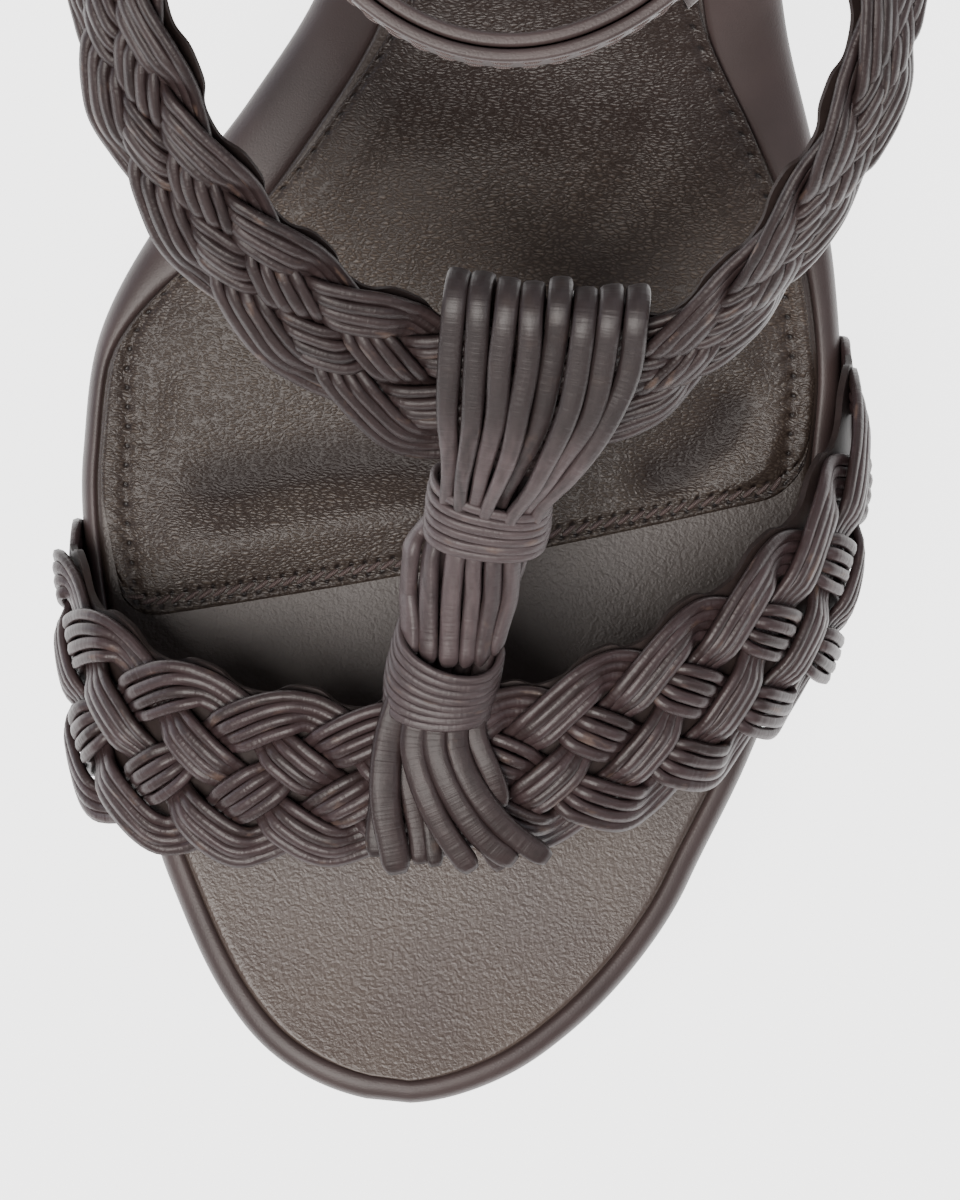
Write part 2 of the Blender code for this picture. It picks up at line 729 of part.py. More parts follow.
def counter_point(share, up, wall):
    """Point of the counter: share of the way round the heel, height above the seat."""
    turn = math.pi * share
    s = COUNTER_FRONT + (INSOLE_LENGTH - COUNTER_FRONT) * math.sin(turn) ** 0.9
    s = min(s, INSOLE_LENGTH - 0.02)
    x = outline_x("inner" if share < 0.5 else "outer", s)
    ups = column(COUNTER_ROWS, COUNTER_COLUMNS, "up")
    out = wall + through(ups, column(COUNTER_ROWS, COUNTER_COLUMNS, "out"), up)
    outward = Vector((-1.25 * math.cos(turn), math.sin(turn) ** 1.5)).normalized()
    return (x + outward.x * out, s + outward.y * out, sole("top", s) + up)


def make_counter(collection, made):
    """Moulded wall round the heel, rising to a tab that carries the ankle strap."""
    count = 28
    levels = (0.0, 0.12, 0.35, 0.62, 0.85, 1.0)
    sections = []
    shares = column(COUNTER_TOP_ROWS, COUNTER_TOP_COLUMNS, "share")
    ups = column(COUNTER_TOP_ROWS, COUNTER_TOP_COLUMNS, "up")
    for i in range(count + 1):
        share = i / count
        top = through(shares, ups, share)
        low = -BOARD + 0.4
        heights = [blend(low, top, level) for level in levels]
        section = [counter_point(share, up, 0.0) for up in heights]
        section += [counter_point(share, up, COUNTER_WALL) for up in reversed(heights)]
        sections.append(section)
    return lofted("counter", sections, collection, made)


def ankle_point(turn, out, z):
    """Point of the ankle strap at an angle from the lateral side toward the toes."""
    x = ANKLE_CENTRE[0] + (ANKLE_HALF[0] + out) * math.cos(turn)
    s = ANKLE_CENTRE[1] - (ANKLE_HALF[1] + out) * math.sin(turn)
    return (x, s, z)


def make_ankle_strap(collection, made):
    """The ring, with its free end lying over it beyond the buckle."""
    count = 50
    edge = 0.6
    low = ANKLE_TOP - ANKLE_DEPTH
    points = []
    faces = []
    for i in range(count):
        degrees = 360.0 * i / count
        over = TAIL_WALL if TAIL[0] <= degrees <= TAIL[1] else 0.0
        section = ((over, low + edge), (over, ANKLE_TOP - edge), (over - edge, ANKLE_TOP),
                   (edge - ANKLE_WALL, ANKLE_TOP), (-ANKLE_WALL, ANKLE_TOP - edge),
                   (-ANKLE_WALL, low + edge), (edge - ANKLE_WALL, low), (over - edge, low))
        points += [ankle_point(math.radians(degrees), out, z) for out, z in section]
    sides = len(section)
    for i in range(count):
        for j in range(sides):
            a = i * sides
            b = ((i + 1) % count) * sides
            k = (j + 1) % sides
            faces.append((a + j, b + j, b + k, a + k))
    return add_solid("ankle_strap", points, faces, collection, made)


def buckle_place(ahead, out, up):
    """Point near the buckle: ahead toward the toes, out from the strap, up from its middle."""
    middle = ANKLE_TOP - 0.5 * ANKLE_DEPTH
    return (ANKLE_CENTRE[0] + ANKLE_HALF[0] + out, ANKLE_CENTRE[1] - ahead, middle + up)


def upright(name, radius, low, high, collection):
    """Upright round bar beside the ankle strap, on the line of the buckle's bar."""
    x, s, z = buckle_place(0.5 * BUCKLE_WIDE, BAR_OUT, 0.5 * (low + high))
    bpy.ops.mesh.primitive_cylinder_add(vertices=12, radius=radius * MM, depth=(high - low) * MM,
                                        location=(x * MM, s * MM, z * MM))
    bar = bpy.context.object
    bar.name = name
    bar.data.transform(bar.matrix_world)
    bar.matrix_world.identity()
    for old in bar.users_collection:
        old.objects.unlink(bar)
    collection.objects.link(bar)
    return bar


def add_sleeves(upper, collection):
    """Folds of the ankle strap that hold the buckle's bar, above and below its prong."""
    reach = 0.5 * ANKLE_DEPTH - 1.5
    slot = 0.5 * PRONG_SLOT
    join_solids(upper, [upright("upper_sleeve", SLEEVE, slot, reach, collection),
                        upright("lower_sleeve", SLEEVE, -reach, -slot, collection)])
    bore = upright("bore", BUCKLE_WIRE + GAP + 0.1, -reach - 1.0, reach + 1.0, collection)
    combine(upper, bore, "DIFFERENCE")


def wire(name, places, radius, closed, collection, made):
    """Round wire through places: a bevelled curve turned into a closed mesh."""
    curve = bpy.data.curves.new(name, "CURVE")
    curve.dimensions = "3D"
    curve.bevel_depth = radius * MM
    curve.bevel_resolution = 2
    curve.use_fill_caps = not closed
    line = curve.splines.new("POLY")
    line.points.add(len(places) - 1)
    for point, (x, s, z) in zip(line.points, places):
        point.co = (x * MM, s * MM, z * MM, 1.0)
    line.use_cyclic_u = closed
    guide = bpy.data.objects.new(name + "_line", curve)
    collection.objects.link(guide)
    bpy.context.view_layer.update()
    mesh = bpy.data.meshes.new_from_object(guide.evaluated_get(bpy.context.evaluated_depsgraph_get()))
    bpy.data.objects.remove(guide, do_unlink=True)
    shape = bmesh.new()
    shape.from_mesh(mesh)
    bmesh.ops.remove_doubles(shape, verts=shape.verts, dist=0.01 * MM)
    shape.to_mesh(mesh)
    shape.free()
    mesh.shade_smooth()
    mesh.materials.clear()
    mesh.materials.append(made)
    built = bpy.data.objects.new(name, mesh)
    collection.objects.link(built)
    return built


def make_buckle(collection, made):
    """Round-cornered wire frame with its prong."""
    half_wide = 0.5 * BUCKLE_WIDE
    half_high = 0.5 * BUCKLE_HIGH
    loop = []
    for quarter, (side, end) in enumerate(((1, 1), (-1, 1), (-1, -1), (1, -1))):
        for step in range(4):
            turn = math.radians(90.0 * quarter + 30.0 * step)
            ahead = side * (half_wide - BUCKLE_CORNER) + BUCKLE_CORNER * math.cos(turn)
            up = end * (half_high - BUCKLE_CORNER) + BUCKLE_CORNER * math.sin(turn)
            loop.append(buckle_place(ahead, BAR_OUT, up))
    frame = wire("buckle", loop, BUCKLE_WIRE, True, collection, made)
    prong_line = [buckle_place(half_wide - behind, BAR_OUT + lift, 0.0) for behind, lift in PRONG_ROWS]
    prong = wire("prong", prong_line, PRONG_WIRE, False, collection, made)
    return join_solids(frame, [prong])


def make_upper(collection, made):
    upper = make_instep_plait(collection, made)
    makers = (make_counter, make_ankle_strap, make_loops, make_stem, make_toe_strap)
    join_solids(upper, [make(collection, made) for make in makers])
    add_sleeves(upper, collection)
    upper.name = "upper"
    upper.data.name = "upper"
    return upper


def make_tassel(collection, made):
    """Strands that fan out from under the lower binding, side by side, joined into one solid."""
    root_x, root_s, root_z, spread = TASSEL_ROOT
    strands = []
    steps = 5
    last = len(TASSEL_ROWS) - 1
    for n, (tip_x, tip_s, tip_z, half) in enumerate(TASSEL_ROWS):
        start = Vector((root_x + spread * (n / last - 0.5), root_s, root_z))
        tip = Vector((tip_x, tip_s, tip_z))
        bend = start.lerp(tip, 0.5) + Vector((-0.12 * (tip_x - start.x), 0.0, TASSEL_RISE))
        sections = []
        for i in range(steps + 1):
            t = i / steps
            centre = start * (1 - t) ** 2 + bend * 2 * t * (1 - t) + tip * t * t
            wide = half * blend(1.15, 1.0, t) * (1.0 if i < steps else 0.7)
            deep = 1.0 if i < steps else 0.7
            ring = []
            for j in range(6):
                angle = 2.0 * math.pi * j / 6
                offset = Vector((wide * math.cos(angle), 0.0, deep * math.sin(angle)))
                ring.append(tuple(centre + offset))
            sections.append(ring)
        strands.append(lofted("strand_%d" % n, sections, collection, made))
    tassel = join_solids(strands[0], strands[1:])
    tassel.name = "tassel"
    tassel.data.name = "tassel"
    return tassel


# ---------------------------------------------------------------- assembly
def centre_on_floor(objects):
    """Puts the middle of the shoe's box over the origin, toes toward -Y."""
    xs = [v.co.x for o in objects for v in o.data.vertices]
    ys = [v.co.y for o in objects for v in o.data.vertices]
    shift = Vector(((min(xs) + max(xs)) / 2, (min(ys) + max(ys)) / 2, 0.0))
    for made in objects:
        for vertex in made.data.vertices:
            vertex.co -= shift


def main():
    for old in list(bpy.data.objects):
        bpy.data.objects.remove(old, do_unlink=True)
    collection = bpy.data.collections.new("platform_sandal")
    bpy.context.scene.collection.children.link(collection)

    cord = material("corded calf", (0.115, 0.083, 0.083), 0.42)
    smooth = material("smooth calf", (0.062, 0.043, 0.042), 0.38)
    grained = material("grained nappa", (0.145, 0.125, 0.115), 0.45)
    rubber = material("brown rubber", (0.035, 0.028, 0.026), 0.7)
    metal = material("antique brass", (0.33, 0.26, 0.17), 0.35, 1.0)

    parts = [
        make_outsole(collection, rubber),
        make_platform(collection, smooth),
        make_heel(collection, smooth),
        make_top_piece(collection, rubber),
        make_insole(collection, smooth),
        make_sock(collection, grained),
        make_upper(collection, cord),
        make_tassel(collection, cord),
        make_buckle(collection, metal),
    ]
    centre_on_floor(parts)


main()
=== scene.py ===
"""Platform sandal, left foot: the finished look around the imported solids.

Lengths in the tables are millimetres. from_toe runs level from the tip of the toe to the heel,
x from the medial side (negative) to the lateral side, heights are above the floor.
"""
import math

import bpy
import numpy as np
from mathutils import Matrix, Vector


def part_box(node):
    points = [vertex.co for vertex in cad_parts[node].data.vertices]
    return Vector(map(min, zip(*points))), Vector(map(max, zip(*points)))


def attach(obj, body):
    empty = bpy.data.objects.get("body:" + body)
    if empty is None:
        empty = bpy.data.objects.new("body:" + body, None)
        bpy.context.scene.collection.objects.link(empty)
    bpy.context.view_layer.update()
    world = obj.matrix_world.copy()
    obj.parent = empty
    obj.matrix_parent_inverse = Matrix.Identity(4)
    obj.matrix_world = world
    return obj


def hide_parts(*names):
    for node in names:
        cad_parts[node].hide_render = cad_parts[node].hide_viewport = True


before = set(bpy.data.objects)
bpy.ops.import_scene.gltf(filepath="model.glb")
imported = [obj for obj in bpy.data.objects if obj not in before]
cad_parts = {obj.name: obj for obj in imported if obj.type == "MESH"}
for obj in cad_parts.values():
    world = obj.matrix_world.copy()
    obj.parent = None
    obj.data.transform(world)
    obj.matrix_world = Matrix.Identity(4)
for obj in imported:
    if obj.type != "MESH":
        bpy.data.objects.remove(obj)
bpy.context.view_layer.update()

# ---------------------------------------------------------------------------------------------
# Studio. A pale sweep of coated paper lies under the shoe. It is slightly lit from itself, so
# that the soft shadows on it stay faint.


def linear(code, alpha=1.0):
    """sRGB hex to the linear values a shader takes."""
    made = []
    for i in (0, 2, 4):
        value = int(code[i:i + 2], 16) / 255
        made.append(value / 12.92 if value <= 0.04045 else ((value + 0.055) / 1.055) ** 2.4)
    return (*made, alpha)


def fill(node, inputs):
    """Sets a node's inputs, each to a number, a hex colour or another node's output."""
    for key, value in inputs.items():
        if isinstance(value, bpy.types.NodeSocket):
            node.id_data.links.new(value, node.inputs[key])
        else:
            node.inputs[key].default_value = linear(value) if isinstance(value, str) else value


def add_node(tree, kind, inputs=None, out=0, stops=(), **settings):
    """Adds a node with its settings and, for a ramp, its stops. Gives back one of its outputs."""
    made = tree.nodes.new("ShaderNode" + kind)
    for key, value in settings.items():
        setattr(made, key, value)
    for stop, (position, code) in enumerate(stops):
        made.color_ramp.elements[stop].position = position
        made.color_ramp.elements[stop].color = linear(code)
    fill(made, inputs or {})
    return made.outputs[out]


def new_finish(name, read=None):
    """A material, its tree, its shader, and the places on a piece that its patterns read."""
    made = bpy.data.materials.new(name)
    made.use_nodes = True
    tree = made.node_tree
    place = add_node(tree, "TexCoord", out=read) if read else None
    if read == "Object":    # metres to millimetres
        place = add_node(tree, "Mapping", {"Vector": place, "Scale": (1000.0, 1000.0, 1000.0)})
    return made, tree, tree.nodes["Principled BSDF"], place


paper, tree, shader, _ = new_finish("white_coated_paper")
fill(shader, {"Base Color": "8a8a8a", "Roughness": 0.9, "Specular IOR Level": 0.1,
              "Emission Color": "ffffff", "Emission Strength": 3.3})
bpy.ops.object.select_all(action="DESELECT")
bpy.ops.mesh.primitive_plane_add(size=6.0)
floor = bpy.context.object
floor.name = "floor"
floor.data.materials.append(paper)

# ---------------------------------------------------------------------------------------------
# Insole. A leather-wrapped board: a smooth rolled rim of calf, a groove, and inside it a panel
# of grained nappa, glued down. It carries every other piece.
MM = 0.001
INSOLE_LENGTH = 222.0
TIP = 0.15                # the outline starts this far from the tip, where it has a width
TOE_ROUND, HEEL_ROUND = 30.0, 30.0
BOARD = 5.0
SOLE_ROWS = (   # from_toe, inner half width, outer half width, height of the top face
    (0.0, 29.2, 23.5, 36.0), (4.0, 28.8, 25.9, 35.2), (10.0, 28.2, 27.6, 34.0), (20.0, 29.2, 30.4, 32.3),
    (30.0, 32.4, 33.7, 31.0), (45.0, 39.0, 39.3, 29.6), (60.0, 43.3, 43.4, 29.0), (75.0, 45.4, 45.7, 29.0),
    (90.0, 44.6, 46.0, 29.6), (105.0, 38.2, 43.9, 32.3), (120.0, 28.6, 39.5, 38.2),
    (135.0, 20.9, 34.0, 46.0), (150.0, 19.5, 30.6, 56.5), (172.0, 22.8, 29.5, 74.3),
    (190.0, 26.0, 30.0, 87.0), (222.0, 27.5, 28.0, 99.0),
)
RIM_ROWS = (    # from_toe, width of the rim on the inner side, on the outer side
    (0.0, 3.2, 3.0), (30.0, 2.8, 2.8), (62.0, 1.9, 2.6), (85.0, 1.9, 2.6), (97.0, 4.2, 2.8),
    (108.0, 8.2, 3.4), (120.0, 8.4, 5.8), (137.0, 8.0, 9.2), (160.0, 7.0, 8.6), (222.0, 6.0, 6.0),
)
EDGE_ROWS = (   # profile of the wrapped edge: share of the rim's width, more inset, lift of the top face
    (0.0, 2.2, -5.0), (0.0, 1.1, -4.9), (0.0, 0.45, -4.55), (0.0, 0.1, -3.9), (0.0, 0.0, -3.1),
    (0.04, 0.0, -2.4), (0.11, 0.0, -1.75), (0.2, 0.0, -1.25), (0.32, 0.0, -0.85), (0.46, 0.0, -0.55),
    (0.62, 0.0, -0.36), (0.8, 0.0, -0.26), (0.93, 0.0, -0.3), (1.0, 0.0, -0.5), (1.0, 0.18, -0.75),
    (1.0, 1.0, -0.8),
)
# in from the panel's edge, height over the board's top face
PANEL_EDGE = ((0.0, -0.62), (0.1, -0.3), (0.28, -0.02), (0.55, 0.18), (0.95, 0.28), (1.6, 0.3))
PANEL_GAP = 0.12          # between the rim and the panel
AROUND, ACROSS = 520, 64  # faces round the sole and across it


def smooth_rows(marks, rows, at):
    """Rows of values that belong to marks, read at others along curves that don't overshoot."""
    marks, rows = np.asarray(marks, float), np.asarray(rows, float)
    at = np.clip(at, marks[0], marks[-1])
    spans = np.diff(marks)[:, None]
    slopes = np.diff(rows, axis=0) / spans
    before, after, span_before, span_after = slopes[:-1], slopes[1:], spans[:-1], spans[1:]
    bends = (before * span_after + after * span_before) / (span_before + span_after)
    bends = np.concatenate([slopes[:1], np.where(before * after > 0.0, bends, 0.0), slopes[-1:]])
    i = np.clip(np.searchsorted(marks, at) - 1, 0, len(spans) - 1)
    t = (at[:, None] - marks[i, None]) / spans[i]
    return ((2 * t**3 - 3 * t**2 + 1) * rows[i] + (t**3 - 2 * t**2 + t) * spans[i] * bends[i]
            + (3 * t**2 - 2 * t**3) * rows[i + 1] + (t**3 - t**2) * spans[i] * bends[i + 1])


def by_place(rows, count=900):
    """A table's columns as functions of its first one, for arrays."""
    places = [row[0] for row in rows]
    dense = np.linspace(places[0], places[-1], count)
    read = smooth_rows(places, [row[1:] for row in rows], dense)
    return [lambda at, column=column: np.interp(at, dense, column) for column in read.T]


def rows_at(rows, share):
    """A table's columns at whole rows, from its first row at share 0 to its last at share 1."""
    return np.array(rows)[np.rint(share * (len(rows) - 1)).astype(int)].T


sole_inner, sole_outer, sole_top = by_place(SOLE_ROWS)
rim_inner, rim_outer = by_place(RIM_ROWS)


def soft_step(low, high, value):
    t = np.clip((value - low) / (high - low), 0.0, 1.0)
    return t * t * (3.0 - 2.0 * t)


def eased(share, much):
    """Shares from 0 to 1 drawn closer to both ends, where a rounded edge needs them."""
    return share - much * np.sin(2 * np.pi * share) / (2 * np.pi)


def unit(vectors):
    return vectors / np.linalg.norm(vectors, axis=-1, keepdims=True)


def half_width(outer, s):
    toe = np.clip(1.0 - s / TOE_ROUND, 0.0, 1.0)
    heel = np.clip(1.0 - (INSOLE_LENGTH - s) / HEEL_ROUND, 0.0, 1.0)
    closing = np.sqrt(1.0 - toe * toe) * np.sqrt(1.0 - heel * heel)
    return np.where(outer, sole_outer(s), sole_inner(s)) * closing


# the shoe's own tables start at the toe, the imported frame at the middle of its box
insole_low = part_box("insole")[0]
MIDDLE_X = -float(half_width(False, np.linspace(1.0, INSOLE_LENGTH - 1.0, 2000)).max()) - insole_low.x / MM
MIDDLE_S = TIP - insole_low.y / MM


def in_frame(points):
    """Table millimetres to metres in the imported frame."""
    return (np.asarray(points, float) - (MIDDLE_X, MIDDLE_S, 0.0)) * MM


def laid(name, cells_u, cells_v, place):
    """A grid whose corners go to place(u, v), in table millimetres; its UV map is u and v."""
    bpy.ops.object.select_all(action="DESELECT")
    bpy.ops.mesh.primitive_grid_add(x_subdivisions=cells_u, y_subdivisions=cells_v, size=2.0)
    made = bpy.context.object
    made.name = made.data.name = name
    flat = np.empty(len(made.data.vertices) * 3)
    made.data.vertices.foreach_get("co", flat)
    u, v, _ = (flat.reshape(-1, 3) * 0.5 + 0.5).T
    made.data.vertices.foreach_set("co", in_frame(place(u, v)).ravel())
    return made


def finished(made, finish, stands_for, smooth=78.0):
    """Smooths a piece, gives it its finish and ties it to the shoe."""
    bpy.ops.object.select_all(action="DESELECT")
    made.select_set(True)
    bpy.context.view_layer.objects.active = made
    bpy.ops.object.shade_smooth_by_angle(angle=math.radians(smooth))
    made.data.materials.clear()
    made.data.materials.append(finish)
    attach(made, "root")
    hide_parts(stands_for)
    return made


def welded(name, pieces, finish, stands_for, smooth=60.0, outward=True):
    """Joins pieces into one, welds what meets, turns the faces outward and finishes it."""
    bpy.ops.object.select_all(action="DESELECT")
    for made in pieces:
        made.select_set(True)
    bpy.context.view_layer.objects.active = pieces[0]
    if len(pieces) > 1:
        bpy.ops.object.join()
    made = bpy.context.object
    made.name = made.data.name = name
    bpy.ops.object.mode_set(mode="EDIT")
    bpy.ops.mesh.select_all(action="SELECT")
    bpy.ops.mesh.remove_doubles(threshold=0.000004)
    if outward:
        bpy.ops.mesh.normals_make_consistent(inside=False)
    bpy.ops.object.mode_set(mode="OBJECT")
    return finished(made, finish, stands_for, smooth)


def from_toe_at(w):
    """How far from the toe w is, which runs from 0 back along the inner side to 1 along the outer."""
    return TIP + (INSOLE_LENGTH - 2 * TIP) * (0.5 - 0.5 * np.cos(2 * np.pi * np.mod(w, 1.0)))


def around_sole(w, inset_inner, inset_outer):
    """Places on the outline at w, moved in by an inset."""
    def edge(w):
        s = from_toe_at(w)
        outer = np.mod(w, 1.0) > 0.5
        return np.stack([np.where(outer, 1.0, -1.0) * half_width(outer, s), s], -1)

    step = 0.0015
    along = unit(edge(w + step) - edge(w - step))
    inset = np.where(np.mod(w, 1.0) > 0.5, inset_outer, inset_inner)
    return edge(w) + np.stack([along[:, 1], -along[:, 0]], -1) * inset[:, None]


def on_sole(flat, lift):
    """Level places put on the insole's top face, or off it by a lift."""
    return np.stack([flat[:, 0], flat[:, 1], sole_top(flat[:, 1]) + lift], -1)


def rim_place(u, v):
    share, more, lift = rows_at(EDGE_ROWS, v)
    inner, outer = (width(from_toe_at(u)) for width in (rim_inner, rim_outer))
    # where it is wide the rim leans outward
    wide = soft_step(3.4, 7.5, np.where(u > 0.5, outer, inner))
    lift = lift - wide * (1.0 - share) * (more < 0.2)
    return on_sole(around_sole(u, share * inner + more, share * outer + more), lift)


def across_sole(u, v, inset, use_rim=1.0):
    """Level places across the sole between its two edges, in by the rim and by an inset."""
    w = 0.5 * v
    s = from_toe_at(w)
    left = around_sole(w, use_rim * rim_inner(s) + inset, 0.0 * w)
    right = around_sole(np.mod(1.0 - w, 1.0), 0.0 * w, use_rim * rim_outer(s) + inset)
    both_ends = (w < 1e-6) | (w > 0.5 - 1e-6)
    right = np.where(both_ends[:, None], left, right)
    return left + (right - left) * u[:, None]


def under_place(u, v):
    return on_sole(across_sole(u, v, EDGE_ROWS[0][1], use_rim=0.0), -BOARD)


def panel_top(u, v):
    """The panel's face, its skived edge rounded down to the rim."""
    u = eased(u, 0.94)
    left, right = (across_sole(end, v, PANEL_GAP) for end in (np.zeros_like(u), np.ones_like(u)))
    width = np.linalg.norm(right - left, axis=-1)
    from_end = 260.0 * np.minimum(v, 1.0 - v) ** 1.4    # about how far from the toe or the heel
    inside = np.minimum(np.minimum(u, 1.0 - u) * width, from_end)
    return on_sole(across_sole(u, v, PANEL_GAP), np.interp(inside, *zip(*PANEL_EDGE)))


# smooth calf, finely wrinkled, waxed: soft highlights, and skin lines about 0.4 mm apart
smooth_calf, tree, shader, place_mm = new_finish("smooth_waxed_calf", "Object")
skin = add_node(tree, "TexVoronoi", {"Vector": place_mm, "Scale": 2.4}, feature="DISTANCE_TO_EDGE")
cloud = add_node(tree, "TexNoise", {"Vector": place_mm, "Scale": 0.09, "Detail": 5.0})
fill(shader, {
    "Base Color": add_node(tree, "ValToRGB", {"Fac": cloud}, stops=((0.35, "2f2524"), (0.68, "382d2c"))),
    "Normal": add_node(tree, "Bump", {"Height": skin, "Distance": 0.00008, "Strength": 0.35}),
    "Roughness": 0.5, "Specular IOR Level": 0.4})

# grained nappa: round pebbles about 0.6 mm across, satin
nappa, tree, shader, place_mm = new_finish("grained_nappa", "Object")
warp = add_node(tree, "TexNoise", {"Vector": place_mm, "Scale": 0.8, "Detail": 3.0}, "Color")
warped = add_node(tree, "VectorMath", {0: place_mm, 1: warp}, operation="ADD")
pebble = add_node(tree, "TexVoronoi", {"Vector": warped, "Scale": 1.7}, feature="SMOOTH_F1")
fine = add_node(tree, "TexNoise", {"Vector": place_mm, "Scale": 3.2, "Detail": 4.0})
relief = add_node(tree, "Math", {0: pebble, 1: -0.8, 2: fine}, operation="MULTIPLY_ADD")
cloud = add_node(tree, "TexNoise", {"Vector": place_mm, "Scale": 0.07, "Detail": 4.0})
tone = add_node(tree, "ValToRGB", {"Fac": cloud}, stops=((0.3, "382d29"), (0.7, "40352e")))
# smoother at the toes; from the toe strap back the colour is darkened with painted shade of the straps, and
# the leather is rougher
rougher_and_shaded = add_node(tree, "MapRange", {
    "Value": add_node(tree, "SeparateXYZ", {0: place_mm}, "Y"), "From Min": 12.0 - MIDDLE_S,
    "From Max": 62.0 - MIDDLE_S}, interpolation_type="SMOOTHSTEP")
# painted shade, at half strength at most, mixed into the panel's colour behind the toe strap
shade = add_node(tree, "Math", {0: rougher_and_shaded, 1: 0.5}, operation="MULTIPLY")
fill(shader, {
    "Base Color": add_node(tree, "Mix", {0: shade, 6: tone, 7: "17110f"}, 2, data_type="RGBA"),
    "Normal": add_node(tree, "Bump", {"Height": relief, "Distance": 0.0003, "Strength": 0.24}),
    "Roughness": add_node(tree, "MapRange", {"Value": rougher_and_shaded, "To Min": 0.38, "To Max": 0.46}),
    "Specular IOR Level": 0.45})

rim = laid("rim", AROUND, len(EDGE_ROWS) - 1, rim_place)
under = laid("under", ACROSS, AROUND // 2, under_place)
welded("insole_wrap", [rim, under], smooth_calf, "insole", outward=False)
panel = laid("panel", ACROSS, AROUND // 2, panel_top)
welded("insole_panel", [panel], nappa, "insole", outward=False)

# ---------------------------------------------------------------------------------------------
# Sock. A pad of foam covered in the same nappa, from a slanting seam at the ball of the foot to
# the heel, sewn down all round with a whipped stitch that puckers it. The foot has creased it.
SOCK_FRONT = (55.0, 79.2)          # where its front edge starts, medial and lateral
SOCK_BACK = INSOLE_LENGTH - 7.5
SOCK_ROUND = SOCK_BACK - 20.0      # its back end is rounded from here
SOCK_CORNERS = (6.0, 5.0)          # radius of its front corners
SOCK_THICK = 0.95                  # swell of the foam over its sewn edge
SOCK_LENGTH = SOCK_BACK - 69.0     # from the middle of its front seam
SLOPE = 1.06                       # length along the slope of the sole per level millimetre
SEAM_SLANT, SEAM_SQUARE = 1.05, 0.95   # length along the front seam, and square to it, for the same
SEAM_IN = 1.5                      # stitches of the front seam, in from the edge
SIDE_PITCH, FRONT_PITCH = 2.5, 1.73   # of its stitches
TROUGHS = (   # line of a crease, how wide it opens toward the toe and the heel, depth
    (((-38.0, 70.4), (-28.0, 73.0), (-18.4, 76.0), (-8.0, 78.0), (6.0, 79.4)), 3.3, 6.0, 1.2),
    (((20.0, 77.6), (27.0, 80.0), (32.0, 85.0), (35.6, 93.5)), 3.0, 4.2, 1.3),
    (((-36.5, 74.0), (-37.0, 82.0), (-34.0, 92.0)), 2.6, 2.6, 0.45),
    (((6.0, 93.0), (20.0, 93.6), (31.0, 99.0)), 3.4, 5.0, 0.55),
    (((-28.0, 92.0), (-12.0, 96.0), (0.0, 97.0)), 3.6, 6.0, 0.5),
    (((-18.0, 114.0), (0.0, 118.0), (16.0, 115.0)), 4.5, 6.0, 0.6),
    (((-12.0, 132.0), (2.0, 134.0), (16.0, 130.0)), 4.5, 6.0, 0.6),
    (((10.0, 104.0), (16.0, 112.0), (20.0, 124.0)), 2.6, 4.0, 0.5),
)
RIDGES = (    # the same for what is pushed up beside them
    (((26.5, 74.6), (33.0, 76.6), (38.0, 82.0), (40.0, 89.0)), 1.2, 1.2, 0.55),
    (((-36.0, 63.0), (-22.0, 66.8), (-8.0, 70.8), (8.0, 73.6)), 2.8, 2.8, 0.7),
    (((8.0, 84.0), (20.0, 86.0), (28.0, 92.0)), 3.4, 3.4, 0.4),
    (((-32.0, 84.0), (-18.0, 88.0), (-4.0, 90.0)), 4.0, 4.0, 0.3),
    (((-14.0, 105.0), (0.0, 107.0), (16.0, 105.0)), 5.0, 5.0, 0.35),
)


def run_of(line):
    """Length along a line up to each of its points."""
    return np.concatenate([[0.0], np.cumsum(np.linalg.norm(np.diff(line, axis=0), axis=1))])


def creased(x, s, lines):
    """Depth of the creases over places: a soft hollow along each line, fading at its ends."""
    total = np.zeros_like(x)
    for line, toward_toe, toward_heel, depth in lines:
        line = np.array(line, float)
        before = run_of(line)
        nearest = np.full_like(x, 1e9)
        share, side = np.zeros_like(x), np.zeros_like(x)
        for a, b, start, length in zip(line, line[1:], before, np.diff(before)):
            (run_x, run_s), off_x, off_s = b - a, x - a[0], s - a[1]
            t = np.clip((off_x * run_x + off_s * run_s) / length**2, 0, 1)
            far = np.hypot(off_x - t * run_x, off_s - t * run_s)
            closer = far < nearest
            share = np.where(closer, (start + t * length) / before[-1], share)
            side = np.where(closer, run_x * off_s - run_s * off_x, side)
            nearest = np.minimum(nearest, far)
        fade = soft_step(0.0, 0.25, share) * soft_step(1.0, 0.75, share)
        half = np.where(side > 0.0, toward_heel, toward_toe)
        total += depth * np.exp(-((nearest / half) ** 2)) * (0.2 + 0.8 * fade)
    return total


def swollen(far, width):
    """A low round swelling, 1 in its middle."""
    return np.exp(-(far / width) ** 2)


def rounded(share):
    """A quarter circle: 0 at 0, steep there, and level at 1."""
    return np.sqrt(1 - (1 - np.clip(share, 0.0, 1.0)) ** 2)


def sock_edge(side, share):
    """Edge of the sock on one side (0 medial, 1 lateral), share of the way back."""
    s = SOCK_FRONT[side] + (SOCK_BACK - SOCK_FRONT[side]) * share
    strip = 0.7 + (1.9, 0.5)[side] * soft_step(88.0, 108.0, s)    # of the insole left beside it
    past = np.maximum(0.0, (s - SOCK_ROUND) / (SOCK_BACK - SOCK_ROUND))
    wide = half_width(np.full(s.shape, side == 1), np.minimum(s, SOCK_ROUND))
    wide = np.minimum(wide, (sole_inner, sole_outer)[side](s)) - (rim_inner, rim_outer)[side](s) - strip
    return (-1.0, 1.0)[side] * wide * np.sqrt(np.maximum(0.004, 1.0 - past * past)), s


